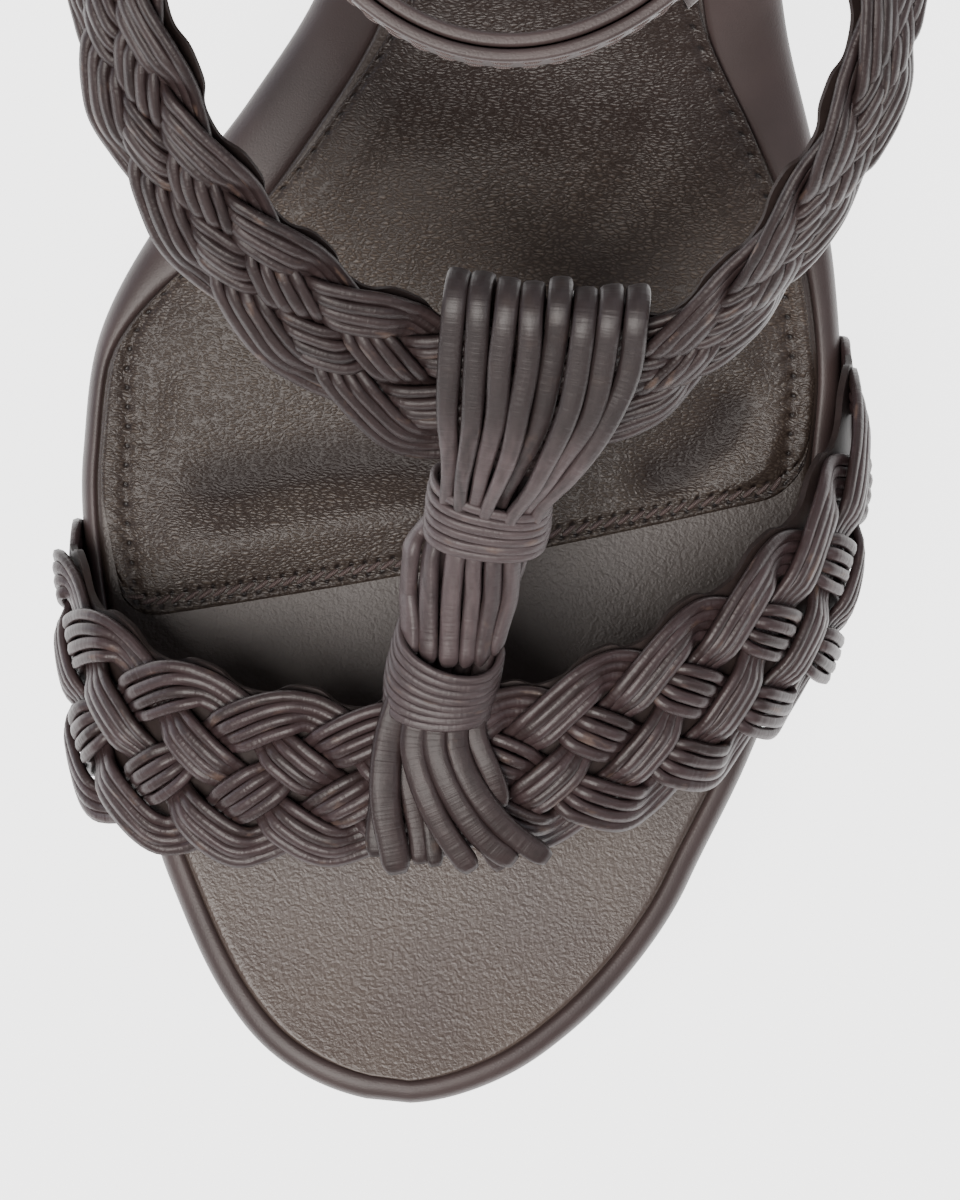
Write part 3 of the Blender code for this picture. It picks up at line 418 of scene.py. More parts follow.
def sock_places(u, v):
    """Level places of the sock's grid, how far in they are from its side and from its front."""
    share, across = eased(v, 0.4), eased(u, 0.5)
    (left_x, left_s), (right_x, right_s) = sock_edge(0, share), sock_edge(1, share)
    x, s = left_x + (right_x - left_x) * across, left_s + (right_s - left_s) * across
    # the seam bows a little to the toes and turns round the corners
    at_front = 1.0 - soft_step(0.0, 0.13, share)
    s = s - np.sin(np.pi * across) * at_front
    for radius, into in zip(SOCK_CORNERS, (x - left_x, right_x - x)):
        s = s + radius * (1.0 - rounded(into / radius)) * at_front
    front_in, back_in = share * SOCK_LENGTH * SEAM_SQUARE, (1 - share) * SOCK_LENGTH
    return x, s, np.minimum(x - left_x, right_x - x), front_in, back_in


def row_in(x, s):
    """How far in from the sock's side edge its stitches run."""
    left = 3.0 - 2.2 * soft_step(76.0, 97.0, s)
    right = 2.4 - 1.2 * soft_step(100.0, 116.0, s)
    return np.where(x < 0, left, right)


def sock_top(u, v):
    x, s, side_in, front_in, back_in = sock_places(u, v)
    row = row_in(x, s)
    edge = np.minimum(np.minimum(side_in, front_in), back_in)
    margin = 0.42 + 0.55 * rounded(edge / 0.5)
    swell = soft_step(row - 0.2, row + 7.0, side_in) * soft_step(0.8, 8.0, front_in)
    swell = swell * soft_step(0.0, 9.0, back_in)
    groove = 0.38 * swollen(side_in - row, 0.75) + 0.42 * swollen(front_in - SEAM_IN, 0.8)
    # the stitches pull the leather in at each hole and pucker it between them
    turns = s * SLOPE / SIDE_PITCH
    groove = groove + 0.16 * np.cos(2 * np.pi * (turns - 0.5)) * swollen(side_in - row, 0.6)
    beside = swollen(side_in - row + 1.1, 0.8) + swollen(side_in - row - 1.2, 0.9)
    pucker = 0.13 * np.cos(2 * np.pi * (turns + 0.14 * side_in))
    margin = margin + pucker * beside * soft_step(3.0, 8.0, front_in)
    inner = soft_step(row, row + 3.0, side_in) * soft_step(SEAM_IN, 4.0, front_in)
    folds = creased(x, s, RIDGES) - creased(x, s, TROUGHS)
    z = sole_top(s) + margin + SOCK_THICK * swell + folds * inner - groove
    # a fold never goes through to the insole
    floor = sole_top(s) + 0.5
    over = z - floor
    return np.stack([x, s, floor + 0.5 * (over + np.sqrt(over**2 + 0.01)) - 0.08], -1)


def sock_under(u, v):
    x, s, *_ = sock_places(u, v)
    return on_sole(np.stack([x, s], -1), 0.2)


def seam_maps(made):
    """UV maps: millimetres along and in from the side stitches, the same from the front seam,
    and the depth of the folds beside the height of the ridges."""
    uv = np.empty(len(made.data.loops) * 2)
    made.data.uv_layers[0].data.foreach_get("uv", uv)
    x, s, side_in, front_in, _ = sock_places(*uv.reshape(-1, 2).T)
    for name, first, second in (("sides", s * SLOPE, side_in - row_in(x, s)),
                                ("front", x * SEAM_SLANT, front_in - SEAM_IN),
                                ("folds", creased(x, s, TROUGHS), creased(x, s, RIDGES))):
        mapped = made.data.uv_layers.new(name=name)
        mapped.data.foreach_set("uv", np.stack([first, second], -1).ravel())
    return made


# the same nappa stretched over foam and wrinkled across the foot, its pebbles about 0.8 mm wide
# and 0.4 mm long, with stitch holes pressed in and darkened with painted shade
padded_nappa, tree, shader, place_mm = new_finish("padded_nappa", "Object")
warp = add_node(tree, "TexNoise", {"Vector": place_mm, "Scale": 0.45, "Detail": 3.0}, "Color")
warp = add_node(tree, "VectorMath", {0: warp, "Scale": 1.1}, operation="SCALE")
pressed = add_node(tree, "Mapping", {"Vector": place_mm, "Scale": (0.62, 1.4, 1.0)})
warped = add_node(tree, "VectorMath", {0: pressed, 1: warp}, operation="ADD")
pebble = add_node(tree, "TexVoronoi", {"Vector": warped, "Scale": 1.9}, feature="DISTANCE_TO_EDGE")
mound = add_node(tree, "MapRange", {"Value": pebble, "From Max": 0.45}, interpolation_type="SMOOTHSTEP")
fine = add_node(tree, "TexNoise", {"Vector": place_mm, "Scale": 3.0, "Detail": 4.0})
relief = add_node(tree, "Math", {0: fine, 1: 0.5, 2: mound}, operation="MULTIPLY_ADD")
holes = None
for uv_map, pitch, rows in (("sides", SIDE_PITCH, ((0.0, 0.0),)),
                            ("front", FRONT_PITCH, ((-0.62, 0.0), (0.62, 0.35)))):
    mapped = add_node(tree, "UVMap", uv_map=uv_map)
    parted = add_node(tree, "SeparateXYZ", {0: mapped}).node.outputs
    for row, shift in rows:
        turns = add_node(tree, "Math", {0: parted["X"], 1: 1.0 / pitch, 2: shift}, operation="MULTIPLY_ADD")
        along = add_node(tree, "Math", {0: turns}, operation="FRACT")
        along = add_node(tree, "Math", {0: along, 1: 0.5}, operation="SUBTRACT")
        along = add_node(tree, "Math", {0: along, 1: pitch}, operation="MULTIPLY")
        into = add_node(tree, "Math", {0: parted["Y"], 1: row}, operation="SUBTRACT")
        away = add_node(tree, "CombineXYZ", {"X": along, "Y": into})
        away = add_node(tree, "VectorMath", {0: away}, "Value", operation="LENGTH")
        hole = add_node(tree, "MapRange", {"Value": away, "From Min": 0.52, "From Max": 0.12},
                        interpolation_type="SMOOTHSTEP")
        holes = hole if holes is None else add_node(tree, "Math", {0: holes, 1: hole}, operation="MAXIMUM")
cloud = add_node(tree, "TexNoise", {"Vector": place_mm, "Scale": 0.06, "Detail": 5.0})
tone = add_node(tree, "ValToRGB", {"Fac": cloud}, stops=((0.3, "38302b"), (0.72, "433b34")))
# painted light: lighter over the arch, a painted reflection; painted shade: darker toward the heel, under the
# ankle strap and counter
from_tip = add_node(tree, "SeparateXYZ", {0: place_mm}, "Y")
for start, end, most, code in ((93.0, 103.0, 0.55, "5e5249"), (107.0, 124.0, 0.85, "211816")):
    part = add_node(tree, "MapRange", {"Value": from_tip, "From Min": start - MIDDLE_S,
                                       "From Max": end - MIDDLE_S, "To Max": most},
                    interpolation_type="SMOOTHSTEP")
    tone = add_node(tree, "Mix", {0: part, 6: tone, 7: code}, 2, data_type="RGBA")
# painted shade in the valleys of the pebbled grain
valleys = add_node(tree, "MapRange", {"Value": mound, "To Min": 0.7, "To Max": 0.0})
tone = add_node(tree, "Mix", {0: valleys, 6: tone, 7: "1d1513"}, 2, data_type="RGBA")
# painted shade: the folds are darkened to a dark red brown where their slopes turn away from the light, and
# they are rougher
depth = add_node(tree, "SeparateXYZ", {0: add_node(tree, "UVMap", uv_map="folds")})
fold = add_node(tree, "MapRange", {"Value": depth, "From Min": 0.4, "From Max": 1.3, "To Max": 0.9},
                interpolation_type="SMOOTHSTEP")
tone = add_node(tree, "Mix", {0: fold, 6: tone, 7: "170e0c"}, 2, data_type="RGBA")
relief = add_node(tree, "Math", {0: holes, 1: -1.4, 2: relief}, operation="MULTIPLY_ADD")
# painted shade in the stitch holes: the colour goes nearly black there
fill(shader, {
    "Base Color": add_node(tree, "Mix", {0: holes, 6: tone, 7: "120c0b"}, 2, data_type="RGBA"),
    "Normal": add_node(tree, "Bump", {"Height": relief, "Distance": 0.0003, "Strength": 0.3}),
    "Roughness": add_node(tree, "MapRange", {"Value": fold, "To Min": 0.4, "To Max": 0.52}),
    "Specular IOR Level": 0.25})

sock = [seam_maps(laid(name, 130, 260, face)) for name, face in (("cover", sock_top), ("under", sock_under))]
sock = welded("sock_pad", sock, padded_nappa, "sock")

# ---------------------------------------------------------------------------------------------
# Platform. A cork platform covered in the smooth calf, its seam turned in under the insole. The
# rubber outsole is glued beneath it.
GROUND_ROWS = (   # from_toe, height of the outsole's underside
    (0.0, 13.0), (4.0, 10.6), (10.0, 7.6), (20.0, 3.9), (30.0, 1.5), (45.0, 0.0), (60.0, 0.0),
    (105.0, 0.0), (120.0, 8.5), (135.0, 25.5), (150.0, 43.0), (172.0, 64.0), (190.0, 78.0), (222.0, 90.0),
)
PLATFORM_ROWS = (   # inset, share of its height
    (4.4, 0.0), (3.7, 0.004), (3.2, 0.02), (2.9, 0.06), (2.5, 0.16), (2.1, 0.3), (1.7, 0.48),
    (1.4, 0.62), (1.1, 0.76), (0.95, 0.88), (0.98, 0.95), (1.2, 0.985), (1.7, 1.0), (4.6, 1.0),
)
OUTSOLE_ROWS = ((6.4, 0.0), (5.6, 0.0), (4.9, 0.08), (4.5, 0.25), (4.35, 0.5), (4.3, 0.94), (4.4, 1.0),
                (5.2, 1.0))
OUTSOLE = 2.8
GLUE = 0.05               # left between two parts
BREAST = 172.0            # front face of the heel block
REBATE = 1.3              # the platform's edge drops this much under the ends of the toe strap
STRAP_SEATS = ((40.0, 67.5), (59.5, 99.0))   # those ends, from the toe, medial and lateral
(sole_ground,) = by_place(GROUND_ROWS)


def rebate(outer, s):
    (medial_front, medial_back), (lateral_front, lateral_back) = STRAP_SEATS
    front, back = np.where(outer, lateral_front, medial_front), np.where(outer, lateral_back, medial_back)
    return REBATE * soft_step(front - 4.0, front - 0.5, s) * (1.0 - soft_step(back + 0.5, back + 4.0, s))


def edge_at(outer, share, start, end, inset):
    """Edge of a length of the sole, moved in by inset; share runs back from its front end."""
    s = start + (end - start) * share
    if start < 1.0:
        toe = 24.0    # the toe's round outline needs more places
        s = np.where(s < toe, start + (toe - start) * ((s - start) / (toe - start)) ** 2, s)
    sign = np.where(outer, 1.0, -1.0)
    step = 0.05

    def x_at(at):
        return sign * half_width(outer, np.clip(at, TIP, INSOLE_LENGTH - TIP))
    along = unit(np.stack([x_at(s + step) - x_at(s - step), np.full_like(s, 2 * step)], -1))
    inward = np.stack([-sign * along[:, 1], sign * along[:, 0]], -1)
    return np.stack([x_at(s), s], -1) + inward * np.asarray(inset)[..., None]


def block(name, rows, start, end, level, cells=150, across=24):
    """Closed body under the insole, from rows of (inset, share of its height), lowest first."""
    def skin(u, v):
        inset, share = rows_at(rows, v)
        corner = np.mod(np.rint(u * (2 * cells + 2)).astype(int), 2 * cells + 2)
        outer = corner > cells
        along = np.where(outer, 2 * cells + 1 - corner, corner) / cells
        flat = edge_at(outer, along, start, end, inset)
        return level(flat[:, 0], flat[:, 1], share, outer)

    def lid(inset, share):
        def place(u, v):
            left, right = (level(*edge_at(outer, v, start, end, np.full_like(v, inset)).T,
                                 np.full_like(v, share), outer)
                           for outer in (np.zeros(v.shape, bool), np.ones(v.shape, bool)))
            return left + (right - left) * u[:, None]
        return place
    return [laid(name, 2 * cells + 2, len(rows) - 1, skin), laid("low", across, cells, lid(*rows[0])),
            laid("high", across, cells, lid(*rows[-1]))]


def platform_level(x, s, share, outer):
    low = sole_ground(s) + OUTSOLE + 0.02
    high = sole_top(s) - BOARD - GLUE
    edge = soft_step(0.55, 0.9, share) * rebate(outer, s)
    return np.stack([x, s, low + (high - low) * share - edge], -1)


welded("platform_cover", block("platform", PLATFORM_ROWS, TIP, BREAST, platform_level), smooth_calf,
       "platform")

# moulded rubber: matt and finely pitted, with slanting tread bars 4 mm apart underneath
moulded_rubber, tree, shader, place_mm = new_finish("moulded_rubber", "Object")
pits = add_node(tree, "TexNoise", {"Vector": place_mm, "Scale": 2.2, "Detail": 3.0})
tread = add_node(tree, "TexWave", {"Vector": place_mm, "Scale": 0.105, "Distortion": 0.0}, "Fac",
                 bands_direction="DIAGONAL", wave_profile="SIN")
facing = add_node(tree, "SeparateXYZ", {0: add_node(tree, "NewGeometry", out="Normal")}, "Z")
under = add_node(tree, "MapRange", {"Value": facing, "From Min": -0.8, "From Max": -0.95})
bars = add_node(tree, "Math", {0: tread, 1: under}, operation="MULTIPLY")
relief = add_node(tree, "Math", {0: bars, 1: 4.0, 2: pits}, operation="MULTIPLY_ADD")
fill(shader, {
    "Base Color": add_node(tree, "ValToRGB", {"Fac": pits}, stops=((0.0, "1d1816"), (1.0, "342c29"))),
    "Normal": add_node(tree, "Bump", {"Height": relief, "Distance": 0.0001, "Strength": 0.6}),
    "Roughness": 0.72})


def outsole_level(x, s, share, _outer):
    return np.stack([x, s, sole_ground(s) + OUTSOLE * share], -1)


welded("rubber_outsole", block("outsole", OUTSOLE_ROWS, TIP, BREAST, outsole_level), moulded_rubber,
       "outsole", smooth=40.0)

# ---------------------------------------------------------------------------------------------
# Heel. A block of moulded plastic covered in the same calf, its seam up the breast, screwed on
# from inside through the insole. A rubber top piece is nailed under it.
TOP_PIECE = 6.0
HEEL_OUT = 1.4            # wider than the insole
HEEL_TAPER = 0.82         # width at the floor against the width under the insole
HEEL_TUCK = 9.0           # its back leans in this much
HEEL_FRONT, HEEL_BACK = BREAST + 0.4, INSOLE_LENGTH - 0.02
HEEL_ROWS = ((0.0, 0.0),
             *((-HEEL_OUT + 0.5 * (k == 0), 0.004 + 0.985 * k / 22) for k in range(23)),
             (-HEEL_OUT + 0.35, 0.997), (-HEEL_OUT + 0.9, 1.0), (1.0, 1.0))
TOP_PIECE_ROWS = ((0.4, 0.0), (-0.6, 0.0), (-1.0, 0.04), (-1.25, 0.12), (-1.35, 0.3), (-1.35, 0.93),
                  (-1.1, 1.0), (0.0, 1.0))


def heel_level(x, s, share, _outer):
    """The block's skin from its outline under the insole; share is 1 there and 0 at the top piece."""
    part = np.clip((s - HEEL_FRONT) / (INSOLE_LENGTH - HEEL_FRONT), 0.0, 1.1)
    low_s = HEEL_FRONT + 0.5 + (INSOLE_LENGTH - HEEL_TUCK - HEEL_FRONT - 0.5) * part
    flare = np.clip(share, 0.0, 1.0) ** 2.2
    low_z = TOP_PIECE + GLUE
    high_z = sole_top(np.minimum(s, INSOLE_LENGTH)) - BOARD - GLUE
    hollow = 1.1 * np.sin(np.pi * np.clip(share, 0, 1)) * (1 - (x / 30.0) ** 2) * (part < 0.02)
    return np.stack([x * (HEEL_TAPER + (1 - HEEL_TAPER) * flare),
                     low_s + (s - low_s) * flare + hollow, low_z + (high_z - low_z) * share], -1)


def top_piece_level(x, s, share, outer):
    made = heel_level(x, s, np.zeros_like(share), outer)
    made[:, 2] = TOP_PIECE * share
    return made


for name, rows, level, finish, node in (
        ("heel_cover", HEEL_ROWS, heel_level, smooth_calf, "heel"),
        ("heel_rubber", TOP_PIECE_ROWS, top_piece_level, moulded_rubber, "heel_top_piece")):
    welded(name, block(name, rows, HEEL_FRONT, HEEL_BACK, level, cells=90), finish, node, smooth=40.0)

# ---------------------------------------------------------------------------------------------
# Camera and lights. The camera looks almost straight down on the straps from over the ball of
# the foot, and large soft boxes light the shoe, the key from over the toes.
TO_CAMERA = Vector((0.0, 0.0785, 0.9969))
CAMERA_DISTANCE = 0.600
AIM = (4.8, 62.2, 30.0)   # x, from_toe and height that it looks at
LENS = 184.5
CAMERA_ROLL = math.radians(5.69)
BOXES = (     # name, place and size in metres, watts, tint
    ("key_box", (-0.34, -0.50, 1.74), 1.05, 66.0, "fffaf5"),
    ("heel_box", (0.1, 0.9, 0.6), 0.5, 2.0, "f2f4ff"),
    ("side_box", (-1.0, 0.1, 0.25), 0.6, 2.5, "dfe8ff"),
    ("other_side_box", (0.75, 0.0, 1.0), 0.6, 3.0, "f4f5ff"),
)
aim = Vector(in_frame(AIM))
bpy.ops.object.camera_add()
camera = bpy.context.object
camera.name = "camera"
camera.data.sensor_fit = "HORIZONTAL"
camera.data.sensor_width = 36.0
camera.data.lens = LENS
camera.data.clip_start = 0.02
level = Vector((1.0, 0.0, 0.0))
upward = TO_CAMERA.cross(level)
right = level * math.cos(CAMERA_ROLL) + upward * math.sin(CAMERA_ROLL)
up = upward * math.cos(CAMERA_ROLL) - level * math.sin(CAMERA_ROLL)
turned = Matrix((right, up, TO_CAMERA)).transposed().to_4x4()
camera.matrix_world = Matrix.Translation(aim + TO_CAMERA * CAMERA_DISTANCE) @ turned
bpy.context.scene.camera = camera

world = bpy.data.worlds.new("studio")
bpy.context.scene.world = world
world.use_nodes = True
fill(world.node_tree.nodes["Background"], {"Color": "f4f5f8", "Strength": 0.2})

for name, place, size, power, tint in BOXES:
    bpy.ops.object.light_add(type="AREA")
    lamp = bpy.context.object
    lamp.name = name
    lamp.data.size = size
    lamp.data.energy = power
    lamp.data.color = linear(tint)[:3]
    facing = (aim - Vector(place)).to_track_quat("-Z", "Y").to_matrix().to_4x4()
    lamp.matrix_world = Matrix.Translation(place) @ facing

# ---------------------------------------------------------------------------------------------
# Toe strap. Five strands of four thin leather cords, plaited flat, one over and one under, and
# backed with a strip of lining. Its ends are lasted in between the insole and the platform.
TOE_STRAP_ROWS = (   # edge nearer the heel x, from_toe, z; edge nearer the toes; bow between them
    (-43.4, 64.5, 34.5, -37.8, 35.0, 34.5, 1.0),
    (-38.5, 58.8, 43.8, -33.8, 31.4, 41.5, 1.0),
    (-27.5, 54.2, 51.5, -24.0, 29.8, 46.6, 0.8),
    (-14.0, 52.6, 55.2, -13.0, 31.0, 49.8, 0.6),
    (0.0, 53.0, 56.5, 1.5, 33.8, 51.0, 0.6),
    (15.0, 58.5, 56.8, 16.0, 36.2, 50.2, 0.7),
    (28.0, 67.0, 55.2, 30.0, 43.0, 46.5, 1.0),
    (38.0, 77.0, 50.5, 38.4, 51.0, 42.0, 1.8),
    (43.4, 87.5, 41.5, 44.0, 57.8, 35.0, 2.6),
)
TOE_ENDS = ((0.3, 3.2), (0.1, 0.4), (-1.4, -0.5), (-3.2, -0.4))   # out from the insole, off its underside
TOE_PITCH = 11.5          # along the strap between strands of one direction
STRANDS, CORDS = 5, 4     # cords in each strand
CORD = 1.46               # a cord, across
CORD_STEP = 1.42          # between the middles of two cords of a strand
UNDER, OVER = 1.75, 3.3   # middles of the lower and the upper cords, out from the foot
STEP = 0.5904             # between two rings of a cord


def read_off(at, marks, table):
    """Rows, or single values, that belong to marks, read straight between them."""
    table = np.asarray(table, float)
    if table.ndim == 1:
        return np.interp(at, marks, table)
    return np.stack([np.interp(at, marks, column) for column in table.T], -1)


def even_steps(line, step, *others):
    """A line laid out again in even steps, with whatever runs along it."""
    gone = run_of(line)
    at = np.linspace(0.0, gone[-1], max(3, int(gone[-1] / step)))
    return [read_off(at, gone, table) for table in (line, *others)]


class Band:
    """Curved face of a strap, from rows of its back edge, middle and front edge."""

    def __init__(self, rows, samples=800, wide=25):
        marks = run_of(np.array(rows)[:, 3:6])
        read = smooth_rows(marks, rows, np.linspace(0.0, marks[-1], samples))
        gone = run_of(read[:, 3:6])
        self.length = gone[-1]
        self.marks = np.linspace(0.0, self.length, samples)
        read = read_off(self.marks, gone, read)
        back, middle, front = (read[:, None, k:k + 3] for k in (0, 3, 6))
        share = np.linspace(0.0, 1.0, wide)[None, :, None]
        bow = middle - 0.5 * (back + front)
        self.face = back + (front - back) * share + bow * 4.0 * share * (1.0 - share)
        self.out = unit(np.cross(np.gradient(self.face, axis=1), np.gradient(self.face, axis=0)))
        self.width = np.linalg.norm(np.diff(self.face, axis=1), axis=-1).sum(1)

    def read(self, table, along, across):
        i = np.clip(along / self.length, 0.0, 1.0) * (len(table) - 1.001)
        j = np.clip(across, 0.0, 1.0) * (table.shape[1] - 1.001)
        low_i, low_j = i.astype(int), j.astype(int)
        part_i, part_j = (i - low_i)[..., None], (j - low_j)[..., None]
        first, second = (table[low_i, k] * (1 - part_i) + table[low_i + 1, k] * part_i
                         for k in (low_j, low_j + 1))
        return first * (1 - part_j) + second * part_j

    def at(self, along, across, lift):
        out = self.read(self.out, along, across)
        return self.read(self.face, along, across) + out * np.asarray(lift)[..., None], out

    def width_at(self, along):
        return np.interp(along, self.marks, self.width)


def bowed(rows):
    """Rows of two edges and a bow, turned into rows of back edge, middle and front edge."""
    rows = np.array(rows)
    made = []
    for i, row in enumerate(rows):
        back, front = row[:3], row[3:6]
        before, after = rows[max(0, i - 1)], rows[min(len(rows) - 1, i + 1)]
        out = unit(np.cross(front - back, after[:3] + after[3:6] - before[:3] - before[3:6]))
        made.append((*back, *(0.5 * (back + front) + out * row[6]), *front))
    return made


def seat_rows(side, seat):
    """Rows that take the strap down beside the insole and in under it, last row innermost."""
    front, back = seat
    rows = []
    for out, rise in TOE_ENDS:
        row = []
        for s in (back, 0.5 * (back + front), front):
            row += [side * (float(half_width(side > 0, s)) + out), s, float(sole_top(s)) - BOARD + rise]
        rows.append(row)
    return rows


def corded(name, paths, finish, stands_for, sides=8, square=0.66):
    """Flattened cords as one finished piece; a path is (middle line, way up, half width, half height)."""
    points, faces, uvs, caps = [], [], [], []
    angle = np.arange(sides) * 2 * np.pi / sides
    over, rise = (np.sign(f) * np.abs(f) ** square for f in (np.cos(angle).round(6), np.sin(angle).round(6)))
    first = 0
    j = np.arange(sides)[None, :]
    k = (j + 1) % sides
    for number, (line, up, half_wide, half_high) in enumerate(paths):
        count = len(line)
        along = unit(np.gradient(line, axis=0))
        side = unit(np.cross(along, up))
        up = np.cross(side, along)
        half_wide, half_high = (np.broadcast_to(half, (count,))[:, None, None]
                                for half in (half_wide, half_high))
        ring = (line[:, None] + side[:, None] * over[None, :, None] * half_wide
                + up[:, None] * rise[None, :, None] * half_high)
        points.append(ring.reshape(-1, 3))
        base = first + np.arange(count - 1)[:, None] * sides
        faces.append(np.stack([base + j, base + sides + j, base + sides + k, base + k], -1).reshape(-1, 4))
        gone = run_of(line)
        here, ahead = gone[:-1, None] + 0 * j, gone[1:, None] + 0 * j
        turn, onward = (number + 0.8 * (j / sides + more) + 0 * here for more in (0, 1 / sides))
        corners = ((here, turn), (ahead, turn), (ahead, onward), (here, onward))
        uvs.append(np.stack([np.stack(corner, -1) for corner in corners], 2).reshape(-1, 2))
        caps.append(list(range(first, first + sides)))
        first += count * sides
        caps.append(list(range(first - 1, first - 1 - sides, -1)))
    mesh = bpy.data.meshes.new(name)
    mesh.from_pydata(in_frame(np.concatenate(points)).tolist(), [], np.concatenate(faces).tolist() + caps)
    uvs = np.concatenate([*uvs, np.zeros((len(caps) * sides, 2))])
    mesh.uv_layers.new(name="along_and_round").data.foreach_set("uv", uvs.ravel())
    made = bpy.data.objects.new(name, mesh)
    bpy.context.scene.collection.objects.link(made)
    finished(made, finish, stands_for)


chance = np.random.default_rng(7)


def wander(at, size, wave):
    """A slow uneven drift along a cord."""
    drift = np.zeros_like(at)
    for part in range(3):
        drift += np.sin(2 * np.pi * (at / (wave * (1.0 - 0.23 * part)) + chance.random())) / 3
    return drift * size


def plait_height(share, slanted_up):
    """Over (1) or under (-1), by share of the way across, for the strands of one slant."""
    height = np.where(share < 0.2, np.sin(2.5 * np.pi * share),
                      np.where(share > 0.8, -np.cos(2.5 * np.pi * (share - 0.8)),
                               np.cos(5 * np.pi * (share - 0.2))))
    height = np.where(slanted_up, height, -height)
    return np.tanh(2.0 * height) / math.tanh(2.0)


def plaited(band, pitch, start, end, settle, cord=CORD):
    """Paths of the cords of a flat five-strand plait; settle is how flat it lies along its length."""
    bend = 0.93    # how sharply the strands turn at the edges
    half_strand = 0.5 * CORDS * CORD_STEP
    run = 0.5 * STRANDS * pitch
    paths = []
    for n in range(STRANDS * CORDS):
        offset = (n % CORDS - 0.5 * (CORDS - 1)) * CORD_STEP
        along = np.arange(start, end, STEP)
        turns = along / (STRANDS * pitch) + n // CORDS / STRANDS
        part = np.mod(turns, 1.0)
        width = band.width_at(along)
        swing = (0.5 - (half_strand + 0.1) / width) / math.asin(bend)
        across = 0.5 + swing * np.arcsin(bend * np.cos(2 * np.pi * turns))
        slope = np.gradient(across * width, along)
        size = np.sqrt(1.0 + slope * slope)
        share = np.abs(2.0 * part - 1.0)
        skew = (run**2 - width**2) / (2 * width * run * np.hypot(run, width))
        near_edge = np.clip(np.minimum(share, 1.0 - share) / 0.15, 0.0, 1.0)
        height = plait_height(np.clip(share + skew * offset * near_edge, 0, 1), part < 0.5)
        # the cords of a strand draw together where it goes under
        place = offset * (0.8 + 0.19 * np.clip(height, -0.2, 1.0)) + wander(along, 0.08, 17.0)
        crown = 0.28 * (1.0 - (offset / half_strand) ** 2) * (height > 0) * height
        lift = (UNDER + OVER) / 2 + height * (OVER - UNDER) / 2 + crown + wander(along, 0.07, 9.0)
        line, out = band.at(along - slope / size * place, across + place / size / width, lift * settle(along))
        wide = 0.5 * cord * (0.98 + 0.13 * chance.random())
        paths.append((line, out, wide + wander(along, 0.04, 12.0), 0.5 * cord * 0.84))
    return paths


def cord_finish(name, deep, raised, roughness, gloss, bent=None):
    """Thin calf rolled and pressed to a cord. Its UV map runs in mm along each cord, and round
    it in 0.8 a turn from the cord's number. bent is where along it, in mm, it starts to bend, and
    from there its colour is darkened with painted shade."""
    finish, tree, shader, place = new_finish(name, "UV")
    # creases along the cord about 0.5 mm wide and 3 mm long, fine cross wrinkles of the bent
    # leather about 0.5 mm apart, and rubbed patches 4.5 mm long where the crowns catch
    streaks, wrinkles, rubbed = (
        add_node(tree, "TexNoise", {"Vector": add_node(tree, "Mapping", {"Vector": place, "Scale": scale}),
                                    "Scale": 1.0, "Detail": detail})
        for scale, detail in (((0.35, 11.0, 1.0), 4.0), ((2.0, 1.6, 1.0), 3.0), ((0.22, 3.0, 1.0), 6.0)))
    number = add_node(tree, "Math", {0: add_node(tree, "SeparateXYZ", {0: place}, "Y")}, operation="FLOOR")
    each = add_node(tree, "TexWhiteNoise", {"W": number}, noise_dimensions="1D")
    mixed = add_node(tree, "Math", {0: each, 1: 0.35, 2: streaks}, operation="MULTIPLY_ADD")
    tone = add_node(tree, "ValToRGB", {"Fac": mixed}, stops=((0.32, deep), (0.95, raised)))
    worn = add_node(tree, "MapRange", {"Value": rubbed, "From Min": 0.62, "From Max": 0.74, "To Max": 0.55})
    tone = add_node(tree, "Mix", {0: worn, 6: tone, 7: "5d4b41"}, 2, data_type="RGBA")
    # painted shade: past the bend the colour is mixed toward the dark tone
    if bent is not None:
        past = add_node(tree, "MapRange", {"Value": add_node(tree, "SeparateXYZ", {0: place}), "To Max": 0.85,
                                           "From Min": bent, "From Max": bent + 9.0},
                        interpolation_type="SMOOTHSTEP")
        tone = add_node(tree, "Mix", {0: past, 6: tone, 7: deep}, 2, data_type="RGBA")
    relief = add_node(tree, "Math", {0: wrinkles, 1: streaks}, operation="ADD")
    fill(shader, {
        "Base Color": tone, "Roughness": roughness, "Specular IOR Level": gloss,
        "Normal": add_node(tree, "Bump", {"Height": relief, "Distance": 0.00012, "Strength": 0.7})})
    return finish


def toe_settle(along):
    """Pressed flat where the strap goes in under the insole."""
    return 0.12 + 0.88 * soft_step(4.5, 17.0, np.minimum(along, toe_band.length - along))


medial_end, lateral_end = (seat_rows(side, seat) for side, seat in zip((-1.0, 1.0), STRAP_SEATS))
toe_band = Band(medial_end[::-1] + bowed(TOE_STRAP_ROWS) + lateral_end)
# plaiting cord: dark, satin, with narrow streaky highlights on its crowns
corded_calf = cord_finish("rolled_calf_cord", "201716", "35292a", 0.42, 0.34)
paths = plaited(toe_band, TOE_PITCH, 1.4, toe_band.length - 1.4, toe_settle)
corded("toe_strap_cords", paths, corded_calf, "upper")

# lining: thin kid, plain and matt, its edges painted
lining_kid, tree, shader, place_mm = new_finish("lining_kid", "Object")
cloud = add_node(tree, "TexNoise", {"Vector": place_mm, "Scale": 1.2, "Detail": 4.0})
fill(shader, {
    "Base Color": add_node(tree, "ValToRGB", {"Fac": cloud}, stops=((0.0, "1c1514"), (1.0, "2b2220"))),
    "Normal": add_node(tree, "Bump", {"Height": cloud, "Distance": 0.0001, "Strength": 0.4}),
    "Roughness": 0.6, "Specular IOR Level": 0.2})


